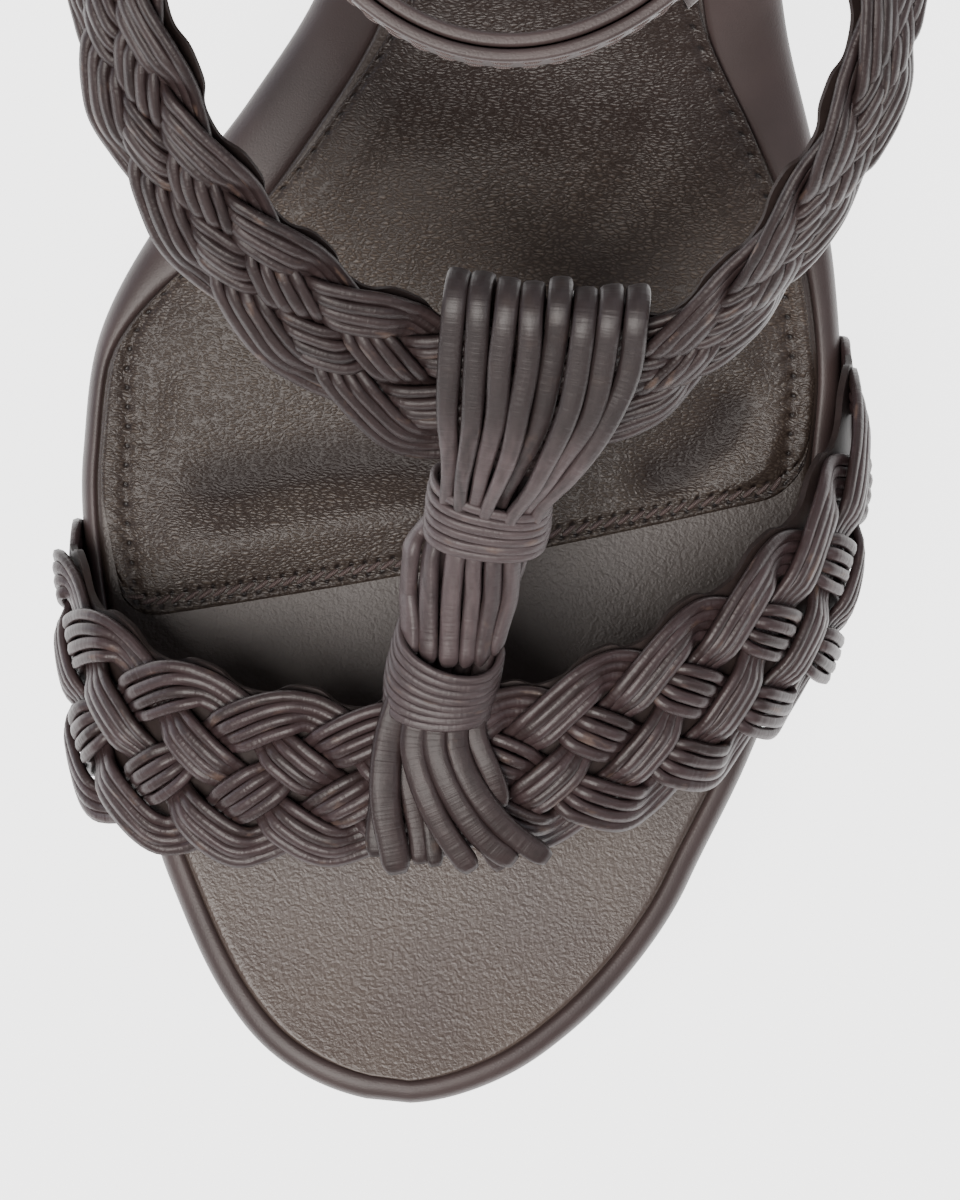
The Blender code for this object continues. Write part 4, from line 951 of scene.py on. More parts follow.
def lining(name, band, cells_u, pitch, inset, low, high, narrowed=0.0, skived=1.0):
    """A strip of lining under a plait, trimmed to its scallops. narrowed is how much further in it
    is cut toward its ends, and skived is the share of its thickness that is left there."""
    section = ((0.0, low + 0.3), (0.0, high - 0.3), (0.3, high), (0.35, high), (0.65, high), (0.7, high),
               (1.0, high - 0.3), (1.0, low + 0.3), (0.7, low), (0.3, low), (0.0, low + 0.3))

    def place(u, v):
        share, lift = rows_at(section, v)
        along = band.length * u
        reach = np.minimum(along, band.length - along)
        scallop = 0.9 * np.tanh(1.6 * np.cos(2 * np.pi * along / pitch))
        inward = inset + narrowed * soft_step(16.0, 7.0, reach)
        back, front = ((inward + sign * scallop) / band.width_at(along) for sign in (1.0, -1.0))
        lift = lift * (1.0 - (1.0 - skived) * soft_step(10.0, 5.0, reach))
        return band.at(along, back + (1 - back - front) * share, lift)[0]
    finished(laid(name, cells_u, len(section) - 1, place), lining_kid, "upper")


lining("toe_strap_lining", toe_band, 200, TOE_PITCH, 1.13, 0.05, 1.5, narrowed=0.6, skived=0.3)

# ---------------------------------------------------------------------------------------------
# Instep plait. The same plait of five strands, longer and looser, bent to a V over the instep.
# Its arms run back along both sides of the foot and are sewn to the heel counter.
INSTEP_ROWS = (   # as the toe strap's, at the middle of the wall
    (-32.2, 182.0, 118.0, -32.8, 182.0, 101.0, 0.0),
    (-34.2, 168.0, 113.5, -38.4, 166.0, 97.5, 0.3),
    (-35.6, 148.0, 107.5, -45.2, 146.0, 93.0, 0.6),
    (-33.8, 128.0, 101.8, -45.4, 127.0, 89.2, 0.8),
    (-27.6, 116.0, 96.6, -41.0, 113.0, 86.6, 0.8),
    (-19.5, 107.4, 91.5, -31.5, 99.3, 82.8, 0.8),
    (-10.0, 101.0, 87.0, -17.5, 87.6, 77.4, 0.6),
    (0.0, 98.2, 84.0, -4.0, 81.0, 72.8, 0.5),
    (10.0, 97.6, 83.6, 9.5, 80.6, 71.8, 0.5),
    (19.5, 99.8, 85.0, 20.5, 87.0, 73.8, 0.6),
    (27.0, 106.0, 90.0, 29.5, 97.0, 78.0, 0.8),
    (32.6, 115.5, 97.2, 37.4, 109.5, 84.4, 0.8),
    (36.6, 127.0, 103.0, 44.0, 125.5, 92.0, 0.8),
    (37.6, 142.0, 106.6, 45.0, 141.0, 95.4, 0.6),
    (35.8, 164.0, 112.2, 39.2, 163.0, 97.6, 0.3),
    (33.4, 182.0, 118.0, 34.0, 182.0, 102.0, 0.0),
)
INSTEP_PITCH = 14.5
INSTEP_CORD = 1.36
WALL = 2.0                # half the thickness of the plait with its lining
instep_band = Band(bowed(INSTEP_ROWS), samples=1400)


def instep_settle(_along):
    return 1.06


# the instep's cords are pulled thinner and are a little rougher; their colour is a darker copy of the toe
# strap's cord, painted shade
shaded_cord_calf = cord_finish("shaded_calf_cord", "1b1313", "2f2525", 0.46, 0.28)
paths = plaited(instep_band, INSTEP_PITCH, 0.5, instep_band.length - 0.5, instep_settle, INSTEP_CORD)
paths = [(line - out * WALL, out, *halves) for line, out, *halves in paths]
corded("instep_cords", paths, shaded_cord_calf, "upper")
lining("instep_lining", instep_band, 400, INSTEP_PITCH, 1.63, 0.05 - WALL, 1.15 - WALL)

# ---------------------------------------------------------------------------------------------
# Loops. Eight flattened cords, each taken over the instep plait and down behind it, side by
# side, and drawn together at the upper binding.
LOOP_ROWS = (   # medial edge x, from_toe, z; lateral edge; depth through the plait
    (-2.2, 101.6, 83.0, 19.8, 101.8, 84.2, 3.0),
    (-2.6, 100.2, 84.2, 20.4, 100.4, 85.6, 6.8),
    (-2.6, 96.0, 82.2, 20.4, 97.2, 83.8, 8.6),
    (-2.0, 88.0, 77.8, 18.8, 90.0, 79.6, 8.8),
    (-1.2, 81.5, 73.0, 14.6, 83.0, 74.4, 8.6),
    (-0.8, 77.0, 69.6, 11.0, 78.2, 70.2, 7.4),
    (-0.2, 74.0, 67.4, 10.0, 75.0, 67.8, 6.4),
)
LOOPS = 8
LOOP_HIGH = 0.82          # half the thickness of a loop
LOOP_STEP = 0.8
DEEP_ROW = 40             # of the rows down a loop, the one that gives the depth of its turn at the top


def eased_line(line, passes):
    """Rounds the corners of a line; its ends stay."""
    line = np.array(line, float)
    for _ in range(passes):
        line[1:-1] = 0.25 * line[:-2] + 0.5 * line[1:-1] + 0.25 * line[2:]
    return line


def smooth_line(rows, samples):
    """Marks along a route and its rows read smoothly at them; a row starts with its place."""
    marks = run_of(np.array(rows)[:, :3])
    dense = np.linspace(0.0, marks[-1], samples)
    return dense, smooth_rows(marks, rows, dense)


down, loop_rows = smooth_line(LOOP_ROWS, 160)
medial, lateral, deep = loop_rows[:, :3], loop_rows[:, 3:6], loop_rows[:, 6]
half_deep = np.minimum(0.5 * deep, 4.3) - LOOP_HIGH
turned = np.clip(down / 2.6, 0.0, 1.0)    # the loop's turn over the plait's edge
half_deep = half_deep[DEEP_ROW] * rounded(turned) * (half_deep / np.maximum(half_deep, half_deep[DEEP_ROW]))
half_wide = 0.5 * np.linalg.norm(lateral - medial, axis=1) / LOOPS
tilt = (1 - turned)[:, None]
paths = []
for n in range(LOOPS):
    share = (n + 0.5) / LOOPS
    middle = medial * (1 - share) + lateral * share
    along = np.gradient(middle, axis=0)
    out = unit(np.cross(along, lateral - medial))
    along = unit(along)
    half = half_deep + chance.uniform(-0.25, 0.3) * soft_step(2.0, 6.0, down)
    middle = middle + np.array((0.0, chance.uniform(-0.5, 0.5), chance.uniform(-0.25, 0.25)))
    raised = (0.5 if n % 2 else -0.1) * soft_step(9.0, 24.0, down)
    front, behind = middle + out * (half + raised)[:, None], middle - out * half[:, None]
    up_front, up_behind = (side * out * (1 - tilt) - along * tilt for side in (1, -1))
    line = eased_line(np.concatenate([front[::-1], behind[1:]]), 12)
    up = np.concatenate([up_front[::-1], up_behind[1:]])
    wide = np.clip(np.concatenate([half_wide[::-1], half_wide[1:]]) - 0.07, 0.8, 1.36)
    line, up, wide = even_steps(line, LOOP_STEP, up, wide)
    side = unit(np.cross(up, np.gradient(line, axis=0)))
    line = line + side * wander(np.arange(len(line)) * LOOP_STEP, 0.22, 24.0)[:, None]
    paths.append((line, up, wide, LOOP_HIGH))
# a wider cord pressed flat and smooth, lighter than the plait's cord, painted light for its sheen; where the
# loops bend over the plait its colour is darkened, painted shade
bent_calf = cord_finish("bent_calf_cord", "1e1717", "463b3c", 0.5, 0.42, bent=12.0)
corded("loops", paths, bent_calf, "upper", sides=12)

# ---------------------------------------------------------------------------------------------
# Stem. The loops' ends run on as a flat bundle of cords, and two tight bindings of one thin cord
# hold it together, the upper one at the loops and the lower one over the toe strap.
STEM_ROWS = (   # x, from_toe, z of its axis
    (5.0, 79.0, 70.6), (4.9, 78.0, 70.0), (4.7, 74.5, 67.8), (4.4, 70.6, 65.4), (4.1, 69.2, 64.6),
    (2.8, 64.0, 61.8), (1.9, 59.4, 59.8), (1.7, 58.2, 59.4), (1.2, 53.2, 58.0), (1.2, 48.4, 57.6),
    (1.3, 47.4, 57.6),
)
BUNDLE_TOP = (   # the cords on top of the bundle: x, from_toe at five places, then half width
    ((-1.2, 74.5), (-3.6, 69.9), (-3.5, 64.8), (-2.9, 61.3), (-2.6, 57.6), 1.27),
    ((-0.4, 74.0), (-1.3, 69.0), (-1.1, 65.1), (-0.8, 61.1), (-0.4, 57.0), 1.16),
    ((2.0, 74.0), (1.5, 68.5), (1.5, 65.1), (1.7, 60.9), (1.9, 56.6), 1.2),
    ((3.8, 74.0), (3.7, 69.1), (3.9, 65.4), (3.9, 62.0), (3.9, 56.8), 0.98),
    ((5.6, 74.0), (5.9, 69.3), (6.1, 65.6), (5.8, 62.2), (5.5, 57.2), 1.06),
    ((7.6, 74.0), (8.0, 69.9), (8.2, 66.0), (7.6, 62.4), (6.9, 58.6), 1.02),
)
BUNDLE_UNDER = (-4.4, -2.2, 0.0, 2.2, 4.4)   # the cords beneath, off the axis
BINDINGS = (    # from_toe of both ends, turns, half width, half depth, slant, sag, half the cord
    (78.6, 72.3, 6.0, 7.5, 4.9, 1.0, 0.4, 0.59), (60.3, 52.0, 8.0, 6.9, 5.0, 0.7, 3.0, 0.57))
stem_marks, stem_line = smooth_line(STEM_ROWS, 400)


def mark_of(from_toe):
    return np.interp(from_toe, stem_line[::-1, 1], stem_marks[::-1])


def stem_at(mark):
    """Axis of the stem with its directions: across it, up from the foot, and along it."""
    centre, ahead, behind = (read_off(mark + more, stem_marks, stem_line) for more in (0.0, 0.8, -0.8))
    along = unit(ahead - behind)
    wide = unit(np.array((1.0, 0.0, 0.0)) - along * along[:, :1])
    return centre, wide, np.cross(along, wide), along


def binding(start, end, turns, half_wide, half_deep, slant, sag, cord):
    """One cord wound round the stem between two places from the toe, sagging in the middle."""
    count = int(turns * 46)
    angle = np.linspace(0.0, 2 * np.pi * turns, count) - 0.5 * np.pi
    gone = np.linspace(0.0, 1.0, count)
    centre, wide, high, along = stem_at(mark_of(start) + (mark_of(end) - mark_of(start)) * gone)
    flat_x, flat_y = np.cos(angle), np.sin(angle)
    size = (np.abs(flat_x) ** 2.4 + np.abs(flat_y) ** 2.4) ** (-1 / 2.4)
    tuck = 1.0 - 0.3 * (soft_step(0.25, 0.0, gone * turns) + soft_step(turns - 0.25, turns, gone * turns))
    tuck = tuck * (0.965 + 0.035 * np.sin(np.pi * gone)) + wander(gone * turns, 0.012, 1.7)
    x = flat_x * size * (half_wide - cord) * tuck
    y = flat_y * size * (half_deep - cord) * tuck
    lean = slant * flat_x * (1.0 - gone) + sag * np.maximum(flat_y, 0.0) * (1.0 - 0.2 * gone)
    line = centre + wide * x[:, None] + high * y[:, None] + along * lean[:, None]
    up = wide * (flat_x / half_wide)[:, None] + high * (flat_y / half_deep)[:, None]
    return (*even_steps(line, 0.7, up), cord, cord * 0.8)


def bundle_top(row):
    """Path of a cord on top of the bundle, its lower end rounded and bent down under the binding."""
    x, from_toe = smooth_rows(range(5), row[:5], np.linspace(0.0, 4.0, 50)).T
    middle, _, height = read_off(mark_of(from_toe), stem_marks, stem_line).T
    off = np.clip((x - middle) / 6.6, -0.98, 0.98)
    z = height + 3.0 * np.sqrt(1 - off**2)
    dive = soft_step(70.0, 72.5, from_toe)
    line, dive, off = even_steps(np.stack([x, from_toe, z - 0.6 - 1.5 * dive], -1), 0.5, dive, off)
    left = np.minimum(1.0, np.arange(len(line))[::-1] * 0.5 / 1.5)
    line[:, 2] -= 1.3 * (1.0 - left) ** 2
    closing = 0.35 + 0.65 * rounded(left)
    up = np.stack([0.8 * off, 0.2 + 0.0 * off, 1.0 - 0.5 * off**2], -1)
    return line, up, row[5] * (1 - 0.25 * dive) * closing, 0.85 * closing


# the wider cords lie flat and smooth; their colour is a lighter copy of the cord's, painted light for the
# sheen they catch
lit_flat_calf = cord_finish("lit_pressed_calf_cord", "2c2324", "463b3c", 0.5, 0.45)
corded("bindings", [binding(*row) for row in BINDINGS], lit_flat_calf, "upper", sides=10)
paths = [bundle_top(row) for row in BUNDLE_TOP]
centre, wide, high, _ = stem_at(np.linspace(6.0, 28.0, 36))
for off in BUNDLE_UNDER:
    line = centre + wide * off - high * (1.9 - 0.05 * off**2)
    paths.append((line, -high + wide * 0.1 * off, 1.15, 0.95))
corded("stem_cords", paths, lit_flat_calf, "upper", sides=12)

# ---------------------------------------------------------------------------------------------
# Tassel. The bundle's cords come out under the lower binding and are cut off straight, wide ones
# on top and narrower ones between and under them, bent toward the lateral side.
TASSEL_ROWS = (   # half width and half height, then places x, from_toe, height of the middle
    (1.72, 1.05, (-3.0, 52.5, 59.6), (-4.1, 47.6, 59.4), (-4.2, 43.2, 59.6), (-3.7, 39.0, 59.2),
     (-2.2, 34.0, 58.2), (-1.6, 31.6, 57.6)),
    (1.15, 0.9, (-3.8, 51.0, 58.0), (-4.6, 45.0, 57.8), (-4.6, 40.0, 57.6), (-4.7, 36.0, 57.2),
     (-4.4, 33.2, 57.0)),
    (1.15, 0.9, (-1.2, 51.0, 59.4), (-2.2, 46.6, 58.6), (-1.1, 41.0, 58.2), (0.2, 37.0, 57.6),
     (0.9, 32.9, 57.2)),
    (1.42, 1.0, (-0.5, 52.5, 60.4), (-1.5, 48.0, 60.6), (0.0, 43.0, 60.6), (2.3, 38.7, 60.0),
     (5.0, 35.2, 59.0), (7.0, 32.9, 58.2)),
    (1.1, 0.9, (0.4, 51.0, 58.2), (0.6, 44.0, 58.2), (1.4, 39.0, 57.8), (2.7, 32.8, 57.2)),
    (1.42, 1.0, (1.6, 52.5, 60.6), (0.9, 48.4, 60.9), (2.7, 43.6, 60.8), (5.6, 39.3, 60.0),
     (8.6, 36.2, 59.0), (11.8, 34.4, 58.0)),
    (1.05, 0.9, (3.0, 51.0, 58.4), (4.4, 44.0, 58.4), (7.0, 38.0, 57.8), (10.4, 33.2, 57.0)),
    (1.36, 1.0, (3.8, 52.5, 60.4), (3.5, 48.4, 60.7), (5.4, 44.0, 60.6), (8.3, 40.2, 59.8),
     (11.6, 37.3, 58.6), (15.7, 35.0, 57.4)),
    (1.25, 0.9, (5.6, 52.5, 59.8), (5.7, 49.0, 60.2), (7.3, 46.0, 60.2), (8.7, 43.4, 59.6),
     (9.6, 40.8, 58.6)),
)
paths = []
for half_wide, half_high, *places in TASSEL_ROWS:
    _, line = smooth_line(places, 60)
    (line,) = even_steps(eased_line(line, 30), 0.7)
    gone = np.linspace(0.0, 1.0, len(line))
    closing = np.sqrt(np.clip((1.0 - gone) * len(line) / 1.6, 0.0, 1.0) * 0.6 + 0.4)
    up = np.tile((float(chance.uniform(-0.45, 0.45)), -0.15, 1.0), (len(line), 1))
    paths.append((line, up, 1.12 * half_wide * closing * (1.0 - 0.08 * gone), 0.9 * half_high * closing))
# the tassel takes the darker copy of the cord finish: painted shade
corded("tassel_cords", paths, shaded_cord_calf, "tassel", sides=14)

# ---------------------------------------------------------------------------------------------
# Heel counter. A stiffener moulded round the heel, covered in the smooth calf, its edges turned
# in and stitched down. It rises to a tab at the back, where the ankle strap passes.
COUNTER_OUT = (   # height above the seat, out from the insole
    (-4.6, 0.5), (2.0, 1.2), (14.0, 3.6), (26.0, 3.8), (44.0, -0.6), (57.0, -5.4), (64.0, -6.0), (82.0, -6.4))
COUNTER_TOP = (   # share of the way round, height of the edge
    (0.0, 8.0), (0.1, 26.0), (0.2, 36.0), (0.34, 39.0), (0.43, 48.0), (0.465, 66.0), (0.5, 70.0),
    (0.535, 66.0), (0.57, 48.0), (0.66, 39.0), (0.8, 36.0), (0.9, 26.0), (1.0, 8.0))
COUNTER_LOW = -BOARD + 0.4
COUNTER_FRONT = 164.0
COUNTER_WALL = 2.2
(counter_out,), (counter_top,) = by_place(COUNTER_OUT), by_place(COUNTER_TOP)


def counter_at(share, up, wall):
    """Places on the counter: share of the way round, height above the seat, out from its inside."""
    turn = np.pi * share
    s = np.minimum(COUNTER_FRONT + (INSOLE_LENGTH - COUNTER_FRONT) * np.abs(np.sin(turn)) ** 0.9, HEEL_BACK)
    x = np.where(share < 0.5, -1.0, 1.0) * half_width(share >= 0.5, s)
    outward = unit(np.stack([-1.25 * np.cos(turn), np.abs(np.sin(turn)) ** 1.5], -1))
    out = wall + counter_out(up)
    return np.stack([x + outward[..., 0] * out, s + outward[..., 1] * out, sole_top(s) + up], -1)


def counter_side(sign):
    def place(u, v):
        share = 0.5 - 0.5 * np.cos(np.pi * (0.5 * u + 0.5 * eased(u, 0.7)))
        tall = counter_top(share) - COUNTER_LOW
        part = eased(v, 0.96)
        from_edge = np.minimum((1 - part) * tall, 60.0 * np.minimum(share, 1 - share))
        full = rounded(from_edge / 1.1)
        # the turned edge stands up a little between the stitches and the rim
        bead = 0.28 * swollen(from_edge - 1.2, 0.9) - 0.16 * swollen(from_edge - 3.0, 0.35)
        wall = 0.5 * COUNTER_WALL * (1 + sign * full) + sign * bead * (full > 0.9)
        return counter_at(share, COUNTER_LOW + tall * part, wall)
    return place


sides = [laid("side", 150, 44, counter_side(sign)) for sign in (1.0, -1.0)]
welded("heel_counter", sides, smooth_calf, "upper")

# ---------------------------------------------------------------------------------------------
# Plait covers. The counter's leather is folded over each end of the instep plait, drawn tight
# and sewn through, so that the cut ends of the cords are hidden.
COVER_ROWS = (   # from_toe, lower edge, upper edge, x medial, x lateral, half its thickness
    (172.6, 98.6, 115.9, 33.9, 36.1, 2.75),
    (178.0, 99.4, 117.6, 33.2, 34.9, 2.75),
    (183.0, 99.0, 118.8, 32.3, 34.3, 2.5),
    (188.0, 97.0, 119.2, 31.4, 34.6, 1.75),
    (193.5, 94.0, 119.4, 31.4, 34.9, 1.1),
)
COVER_FRONT, COVER_BACK = COVER_ROWS[0][0], COVER_ROWS[-1][0]
cover_columns = by_place(COVER_ROWS)


def cover_at(sign, from_toe, turn):
    """Place on a cover: turn 0 is its outer face, a quarter its upper edge."""
    low, high, medial, lateral, thick = (column(from_toe) for column in cover_columns)
    lip = rounded((from_toe - COVER_FRONT) / 0.7)
    c, d = np.cos(turn), np.sin(turn)
    out = np.sign(c) * np.abs(c) ** 0.8 * thick * lip
    up = np.sign(d) * np.abs(d) ** 0.42
    lean = 0.9 * up * soft_step(184.0, 174.0, from_toe)
    x = sign * (np.where(sign > 0, lateral, medial) + out - lean)
    tall = 0.5 * (high - low) * (0.95 + 0.05 * lip)
    return np.stack([x, from_toe + 0.0 * turn, 0.5 * (low + high) + tall * up], -1)


def plait_cover(sign):
    def place(u, v):
        return cover_at(sign, COVER_FRONT + (COVER_BACK - COVER_FRONT) * u ** 1.5, sign * 2 * np.pi * v)
    return laid("cover", 48, 44, place)


welded("plait_covers", [plait_cover(side) for side in (-1.0, 1.0)], smooth_calf, "upper", smooth=50.0)

# ---------------------------------------------------------------------------------------------
# Ankle strap. Two layers of calf glued and sewn back to back, cut edges painted. It runs level
# round the ankle through the counter's tab, and its free end passes through the buckle.
ANKLE_X, ANKLE_S = 0.6, 170.2              # the middle of its oval
ANKLE_WIDE, ANKLE_LONG = 31.0, 47.2        # half the oval's width and length
ANKLE_TOP, ANKLE_LOW = 172.0, 157.0
ANKLE_MIDDLE = 0.5 * (ANKLE_TOP + ANKLE_LOW)
LAYER = 1.3
TAIL_START, TAIL_END = -7.0, 56.0          # degrees from the lateral side that the free end lies over
TAIL_HALF = 0.5 * (ANKLE_TOP - ANKLE_LOW) - 0.35
TAIL_LIFT = (   # ahead of the buckle's middle, out from the strap
    (-6.5, -0.8), (-4.0, -0.6), (0.0, 0.3), (3.0, 1.2), (5.0, 3.2), (6.6, 4.4), (8.6, 4.0), (12.0, 1.9),
    (16.0, 0.75), (40.0, 0.7))
UPPER_STITCH = (2.7, 2.0, 0.22, 0.04)      # pitch, length, half the thread, lift
STITCH_IN, TAIL_STITCH_IN = 1.9, 1.85      # rows of stitches, in from the edges


def ankle_at(turn, out, z):
    x = ANKLE_X + (ANKLE_WIDE + out) * np.cos(turn)
    return np.stack([x, ANKLE_S - (ANKLE_LONG + out) * np.sin(turn), z + 0.0 * x], -1)


def layer_section(low_out, high_out, low_z, high_z, count=40, corner=0.45):
    """Rounded rectangle through a layer of leather, as places (out, height), closed."""
    wide, high = 0.5 * (high_out - low_out) - corner, 0.5 * (high_z - low_z) - corner
    flat, lid = 0.55, 0.97    # shares of the height where the side ends and where the top starts
    made = []
    for t in 2 * np.pi * (np.arange(count) + 0.5) / count:
        share = abs(math.sin(t))
        bend = max(0.0, share - flat) / (1 - flat) * 0.5 * np.pi
        over = wide * min(1.0, (1 - share) / (1 - lid)) + corner * math.cos(bend)
        reach = high * min(1.0, share / flat) + corner * math.sin(bend)
        made.append((0.5 * (low_out + high_out) + math.copysign(over, math.cos(t)),
                     0.5 * (low_z + high_z) + math.copysign(reach, math.sin(t))))
    return made + made[:1]


def ankle_layer(name, low_out, high_out, low_z, high_z):
    section = layer_section(low_out, high_out, low_z, high_z)

    def place(u, v):
        return ankle_at(2 * np.pi * u, *rows_at(section, v))
    welded(name, [laid(name, 220, len(section) - 1, place)], smooth_calf, "upper")


def tail_turn(share):
    return np.radians(TAIL_START + (TAIL_END - TAIL_START) * share)


def tail_lift(turn):
    """How far out from the strap's face the free end lies."""
    marks, lifts = np.array(TAIL_LIFT).T
    return smooth_rows(marks, lifts[:, None], ANKLE_LONG * np.sin(turn))[:, 0]


def ankle_tail(u, v):
    """The free end: it leaves the strap in the buckle, goes over the bar and lies on the strap."""
    out, up = rows_at(layer_section(-0.5 * LAYER, 0.5 * LAYER, -TAIL_HALF, TAIL_HALF), v)
    turn = tail_turn(u)
    # cut to a blunt point
    narrow = np.sqrt(1.0 - np.clip((u - 0.84) / 0.1605, 0.0, 1.0) ** 2.4)
    return ankle_at(turn, tail_lift(turn) + out, ANKLE_MIDDLE + up * narrow)


ankle_layer("ankle_strap_outer", -LAYER, 0.0, ANKLE_LOW, ANKLE_TOP)
ankle_layer("ankle_strap_lining", -2.8, -LAYER - 0.15, ANKLE_LOW + 0.1, ANKLE_TOP - 0.1)
welded("ankle_strap_end", [laid("tail", 130, 40, ankle_tail)], smooth_calf, "upper")

# waxed thread: two-ply, tight and a little shiny
waxed_thread, tree, shader, place = new_finish("waxed_polyester_thread", "UV")
place = add_node(tree, "Mapping", {"Vector": place, "Scale": (2.2, 1.25, 1.0), "Rotation": (0.0, 0.0, 0.6)})
ply = add_node(tree, "TexWave", {"Vector": place, "Scale": 1.0, "Distortion": 0.4}, "Fac")
fill(shader, {
    "Base Color": add_node(tree, "ValToRGB", {"Fac": ply}, stops=((0.0, "2e2422"), (1.0, "594a47"))),
    "Normal": add_node(tree, "Bump", {"Height": ply, "Distance": 0.00006, "Strength": 0.8}),
    "Roughness": 0.5})


def stitch_paths(line, out, pitch, length, half, lift=0.12, slant=0.0):
    """Short arched stitches along a line: paths for corded()."""
    gone = run_of(line)
    half_way = np.linspace(-0.5, 0.5, 5)
    arch = lift - 0.45 * np.array((1.0, 0.2, 0.0, 0.2, 1.0)) * half * 2
    made = []
    for n in range(int(gone[-1] / pitch)):
        at = (n + 0.5) * pitch + half_way * length
        place, up = read_off(at, gone, line), read_off(at, gone, out)
        side = unit(np.cross(up, np.gradient(place, axis=0)))
        place = place + up * arch[:, None] + side * (slant * half_way)[:, None]
        made.append((place, up, half * np.array((0.7, 1.0, 1.0, 1.0, 0.7)), half * 0.9))
    return made


paths = []
round_ankle, round_tail = np.linspace(0.0, 2 * np.pi, 500), tail_turn(np.linspace(0.06, 0.86, 160))
for turn, out, heights in ((round_ankle, 0.0, (ANKLE_TOP - STITCH_IN, ANKLE_LOW + STITCH_IN)),
                           (round_tail, tail_lift(round_tail) + 0.5 * LAYER,
                            [ANKLE_MIDDLE + side * (TAIL_HALF - TAIL_STITCH_IN) for side in (1, -1)])):
    facing = np.stack([np.cos(turn), -np.sin(turn), 0 * turn], -1)
    for height in heights:
        paths += stitch_paths(ankle_at(turn, out, height), facing, *UPPER_STITCH)
share = np.linspace(0.012, 0.988, 700)
edge_line, further = (counter_at(share, counter_top(share) - 3.0, COUNTER_WALL + out) for out in (0.0, 1.0))
paths += stitch_paths(edge_line, further - edge_line, *UPPER_STITCH)
for side in (-1.0, 1.0):
    face = cover_at(side, np.full(60, COVER_FRONT + 2.2), np.linspace(-1.15, 1.15, 60))
    paths += stitch_paths(face, np.tile((side, 0.0, 0.0), (60, 1)), *UPPER_STITCH)
corded("upper_stitches", paths, waxed_thread, "upper", sides=6, square=1.0)

# ---------------------------------------------------------------------------------------------
# Sock seam. The front edge of the sock is sewn down with one waxed thread that goes over and
# over it, so its turns lie side by side on a slant and draw the edge into a low rope.
front_v = np.linspace(0.0, 0.2, 2000)
front_v = float(np.interp(SEAM_IN / (SEAM_SQUARE * SOCK_LENGTH), eased(front_v, 0.4), front_v))
seam_line = sock_top(np.linspace(0.05, 0.95, 400), np.full(400, front_v))
paths = stitch_paths(seam_line, np.tile((0.0, 0.0, 1.0), (400, 1)), FRONT_PITCH, 1.6, 0.3, 0.2, 0.8)
corded("sock_seam_thread", paths, waxed_thread, "sock", square=0.9)

# ---------------------------------------------------------------------------------------------
# Buckle. A round-cornered frame and a prong, both bent from brass wire and antique plated. A fold
# of the ankle strap holds the frame by its bar, and the prong turns on the bar in the fold's gap.
BUCKLE_WIDE, BUCKLE_HIGH, BUCKLE_CORNER = 13.0, 18.4, 3.0
BUCKLE_WIRE, PRONG_WIRE = 1.0, 0.8         # half of each
BUCKLE_X = ANKLE_X + ANKLE_WIDE + 1.7      # 1.7 out from the strap's face
BAR_S = ANKLE_S - 0.5 * BUCKLE_WIDE        # the bar is the side of the frame nearer the toes
PRONG_ROWS = ((-0.9, -0.8), (-1.3, 0.0), (-0.6, 1.1), (0.6, 1.2), (2.0, 0.9), (4.5, 1.25), (6.5, 1.6),
              (9.5, 1.95), (11.5, 2.15), (13.0, 2.1), (14.2, 1.75))   # behind the bar, out from it
FOLD_SECTION = ((0.0, 0.3), (0.3, 0.0), (0.7, 0.0), (1.0, 0.3), (1.0, 0.5), (1.0, 0.7), (0.7, 1.0),
                (0.3, 1.0), (0.0, 0.7), (0.0, 0.6), (0.0, 0.5), (0.0, 0.4), (0.0, 0.3))   # share out, up
FOLD_TALL, FOLD_GAP = 4.9, 3.0             # each half of the fold, and the prong's gap between them

# antique brass: dark in the hollows, rubbed bright where it is touched
antique_brass, tree, shader, place_mm = new_finish("antique_plated_brass", "Object")
rubbed = add_node(tree, "TexNoise", {"Vector": place_mm, "Scale": 0.5, "Detail": 6.0})
fill(shader, {
    "Base Color": add_node(tree, "ValToRGB", {"Fac": rubbed}, stops=((0.35, "6d5a3c"), (0.65, "a48f66"))),
    "Normal": add_node(tree, "Bump", {"Height": rubbed, "Distance": 0.00003, "Strength": 0.5}),
    "Roughness": add_node(tree, "MapRange", {"Value": rubbed, "To Min": 0.42, "To Max": 0.24}),
    "Metallic": 1.0})

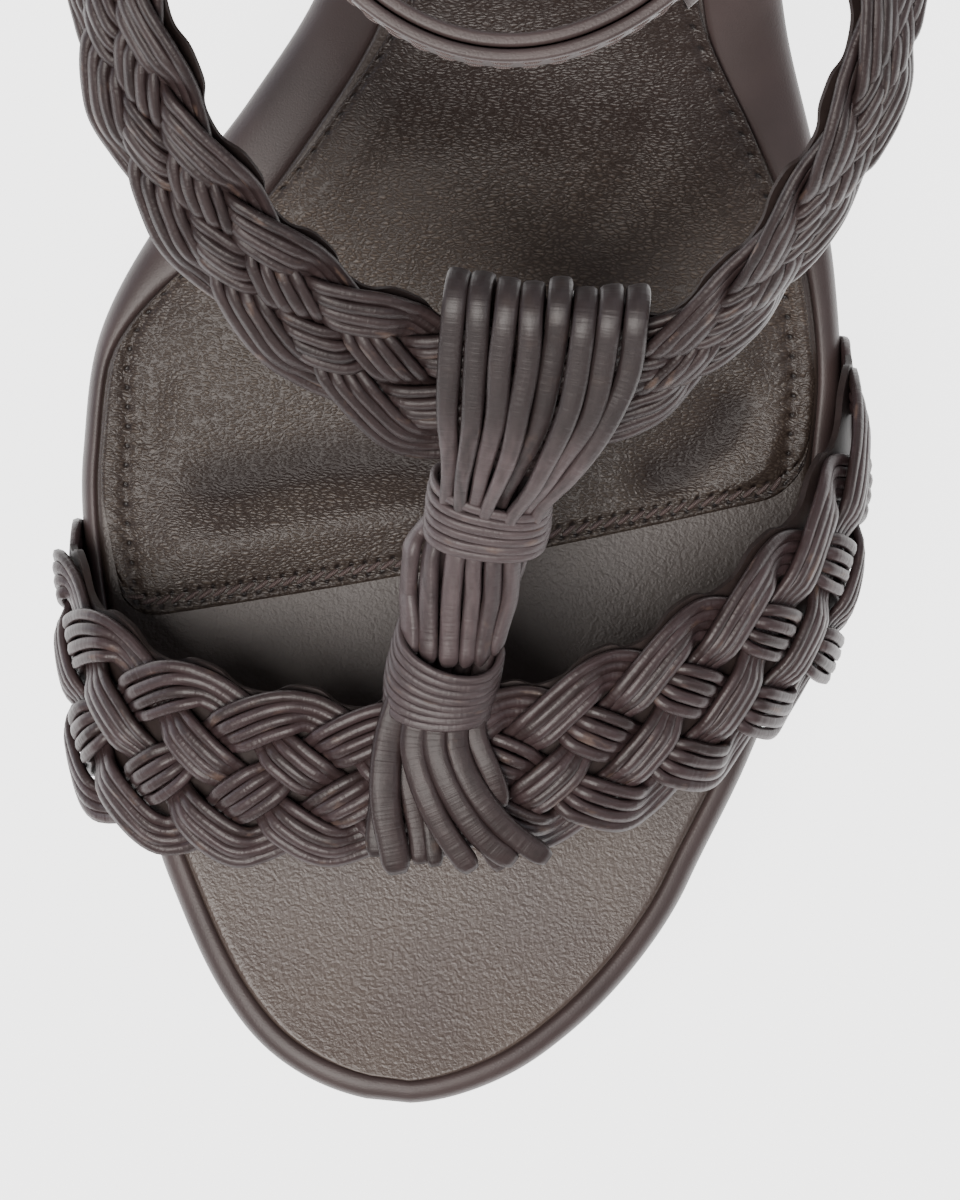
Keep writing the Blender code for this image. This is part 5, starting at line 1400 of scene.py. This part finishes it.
bpy.ops.object.select_all(action="DESELECT")
bpy.ops.mesh.primitive_torus_add(major_segments=48, minor_segments=14, major_radius=BUCKLE_CORNER * MM,
                                 minor_radius=BUCKLE_WIRE * MM, rotation=(0.0, 0.5 * math.pi, 0.0))
buckle = bpy.context.object
bpy.ops.object.transform_apply(location=False, rotation=True, scale=False)
bpy.ops.object.mode_set(mode="EDIT")
for side in (1, -1):
    for end in (1, -1):
        bpy.ops.mesh.select_all(action="DESELECT")
        bpy.ops.object.mode_set(mode="OBJECT")
        for vertex in buckle.data.vertices:
            vertex.select = vertex.co.y * side > -1e-7 * side and vertex.co.z * end > -1e-7 * end
        bpy.ops.object.mode_set(mode="EDIT")
        bpy.ops.transform.translate(value=(0.0, side * (0.5 * BUCKLE_WIDE - BUCKLE_CORNER) * MM,
                                           end * (0.5 * BUCKLE_HIGH - BUCKLE_CORNER) * MM))
bpy.ops.mesh.select_all(action="SELECT")
bpy.ops.transform.translate(value=tuple(in_frame((BUCKLE_X, ANKLE_S, ANKLE_MIDDLE))))
bpy.ops.object.mode_set(mode="OBJECT")
buckle.name = buckle.data.name = "buckle_frame"
finished(buckle, antique_brass, "buckle")

line = np.array([(BUCKLE_X + out + 0.72 * soft_step(0.3, 4.0, behind), BAR_S + behind, ANKLE_MIDDLE)
                 for behind, out in PRONG_ROWS])
(line,) = even_steps(eased_line(even_steps(line, 0.3)[0], 6), 0.4)
wire = PRONG_WIRE * np.clip((len(line) - np.arange(len(line))) / 4.0, 0.35, 1.0)   # thin at its tip
paths = [(line, np.tile((1.0, 0.0, 0.2), (len(line), 1)), wire, 0.9 * wire)]
corded("buckle_prong", paths, antique_brass, "buckle", sides=14, square=1.0)


def fold(low):
    """Half of the strap's fold round the buckle's bar, up from a height."""
    def place(u, v):
        turn = np.pi * (1.15 - 1.3 * u) + 0.5 * np.pi
        deep, tall = rows_at(FOLD_SECTION, v)
        radius = BUCKLE_WIRE + 0.15 + 1.1 * deep
        return np.stack([BUCKLE_X - radius * np.cos(turn), BAR_S + radius * np.sin(turn),
                         low + FOLD_TALL * tall], -1)
    return laid("fold", 36, len(FOLD_SECTION) - 1, place)


folds = [fold(ANKLE_MIDDLE + low) for low in (0.5 * FOLD_GAP, -0.5 * FOLD_GAP - FOLD_TALL)]
welded("buckle_fold", folds, smooth_calf, "upper")
